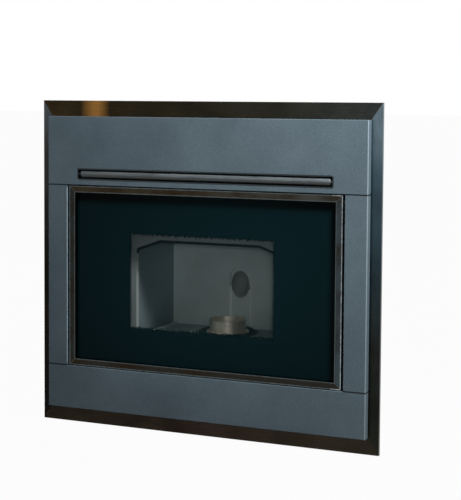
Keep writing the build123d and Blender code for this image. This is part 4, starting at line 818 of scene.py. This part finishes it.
# %% Moulded plastics
def moulded(name, colour, roughness, depth):
    """Moulded plastic with the skin of its mould."""
    finish = Finish(name, colour, roughness)
    skin = finish.noise(1300.0, 2.0)
    dust = finish.noise(12.0, 4.0)
    dusty = tuple(part + 0.02 for part in colour)
    finish.feed("Base Color", finish.mix(dust.between(0.45, 0.8), colour, dusty))
    finish.feed("Roughness", roughness + dust * 0.12)
    finish.bump(skin, depth, 0.4)
    return finish


dress(
    "room_fan_drum control_box mains_inlet",
    moulded("black_moulding", tone(36, 37, 38), 0.5, 0.00012),
)
dress("rocker_switch", moulded("glossy_rocker", tone(26, 26, 27), 0.2, 0.00001))

# %% [markdown]
# ## Studio
#
# A pale floor and a white world surround the object. The world looks white to the camera, to
# reflections and through glass, but lights the object more softly than that. A soft lamp at the
# upper right gives the panels their fall of light towards the lower left, a faint one lifts the
# upper left, and a wide one behind shows the casing in the other views.

# %% A white world that lights softly
class Studio(Finish):
    """The same node maths on the world or on a stage material."""

    def __init__(self, tree):
        self.tree = tree


def seen_directly(studio):
    """1 for rays that show the background: from the camera, off gloss or through glass."""
    path = studio.node("ShaderNodeLightPath").socket.node.outputs
    names = ("Is Camera Ray", "Is Glossy Ray", "Is Transmission Ray")
    seen, glossy, through = [Wire(studio, path[name]) for name in names]
    return seen.most(glossy).most(through)


ambient = 0.02
world = bpy.data.worlds.new("studio")
world.use_nodes = True
bpy.context.scene.world = world
sky = Studio(world.node_tree)
backdrop = world.node_tree.nodes["Background"]
backdrop.inputs["Color"].default_value = (1.0, 1.0, 1.0, 1.0)
sky.connect(backdrop.inputs["Strength"], seen_directly(sky) * (1.0 - ambient) + ambient)
print("world lights at", ambient)

# %% A pale floor that keeps the shadow
floor_reach, floor_glow = 60.0, 0.97
floor_mesh = bpy.data.meshes.new("floor")
sides = ((-1, -1), (1, -1), (1, 1), (-1, 1))
floor_corners = [(x * floor_reach, y * floor_reach, 0.0) for x, y in sides]
floor_mesh.from_pydata(floor_corners, [], [(0, 1, 2, 3)])
show("floor", floor_mesh)
pale = Finish("pale_floor", (0.1, 0.1, 0.1), 0.9, Specular_IOR_Level=0.0)
matt = Wire(pale, pale.shader.outputs[0])
glow = pale.node("ShaderNodeEmission")
glowing = {0: seen_directly(pale) * floor_glow, 1: matt, 2: glow}
both = pale.node("ShaderNodeMixShader", sockets=glowing)
pale.connect(pale.tree.nodes["Material Output"].inputs["Surface"], both)
floor_mesh.materials.append(pale.material)
print("floor", 2 * floor_reach, "m across")


# %% Soft lamps
def lamp(name, kind, place, target, power):
    """A lamp at a place, turned to a target."""
    light = bpy.data.lights.new(name, kind)
    light.energy = power
    holder = show(name, light)
    holder.location = place
    holder.rotation_mode = "QUATERNION"
    holder.rotation_quaternion = (Vector(target) - Vector(place)).to_track_quat("-Z", "Y")
    print("lamp", name, power, "W")
    return holder


# Each lamp: name, place, what it is turned to, size of its square in metres, power in watts.
soft_lamps = [
    ("upper_right", (1.05, -0.8, 1.6), (0.0, -0.26, 0.37), 0.35, 45.5),
    ("upper_left", (-0.45, -0.75, 1.35), (-0.3, -0.26, 0.6), 0.4, 1.2),
    ("fill_back", (-1.6, 2.2, 1.4), (0.0, 0.0, 0.35), 1.8, 18.0),
]
for name, place, target, size, power in soft_lamps:
    lamp(name, "AREA", place, target, power).data.size = size

# %% [markdown]
# The firebox lies behind tinted glass, and the soft lamps alone leave it too dark. So a narrow
# spot beside the camera lights the inside through the window. Its cone is wider than it is tall,
# which keeps it on the window and off the panels.

# %% A narrow lamp for the window
window_place, window_target = (1.12, -2.75, 0.74), (0.012, -0.244, 0.337)
window_lamp = lamp("window_lamp", "SPOT", window_place, window_target, 125.0)
window_lamp.data.spot_size = 0.18
window_lamp.data.spot_blend = 0.25
window_lamp.data.shadow_soft_size = 0.12
window_lamp.scale = (1.0, 0.7, 1.0)
print("window lamp's cone", window_lamp.data.spot_size, "radians")

# %% [markdown]
# ## Camera
#
# The photograph was taken from the right, a little above the insert, looking slightly down. The
# camera's place and turn come from matching the corners of the trim and the panels. A small shift
# lifts the object in the picture without tilting the camera more. The photograph's own shift is
# larger, but the same shift has to serve every other view, where it would cut the object off.

# %% Place the camera
camera_place = Vector((1.1446, -2.8089, 0.7408))
yaw, pitch, roll = -0.3985, -0.05849, 0.00653
image_high, focal_pixels, principal_row = 500, 1300, 175
sensor_wide = 36.0

ahead = Vector((sin(yaw) * cos(pitch), cos(yaw) * cos(pitch), sin(pitch)))
level_right = Vector((cos(yaw), -sin(yaw), 0.0))
level_up = level_right.cross(ahead)
right = level_right * cos(roll) + level_up * sin(roll)
up = level_up * cos(roll) - level_right * sin(roll)
camera_data = bpy.data.cameras.new("camera")
camera_data.lens = sensor_wide * focal_pixels / image_high
camera_data.sensor_width = sensor_wide
camera_data.shift_y = (principal_row - image_high / 2) / image_high
camera = show("camera", camera_data)
turned_to = Matrix((right, up, -ahead)).transposed().to_4x4()
camera.matrix_world = Matrix.Translation(camera_place) @ turned_to
bpy.context.scene.camera = camera
bpy.context.scene.view_settings.view_transform = "Standard"
print("lens", round(camera_data.lens, 2), "mm, shift", round(camera_data.shift_y, 3))
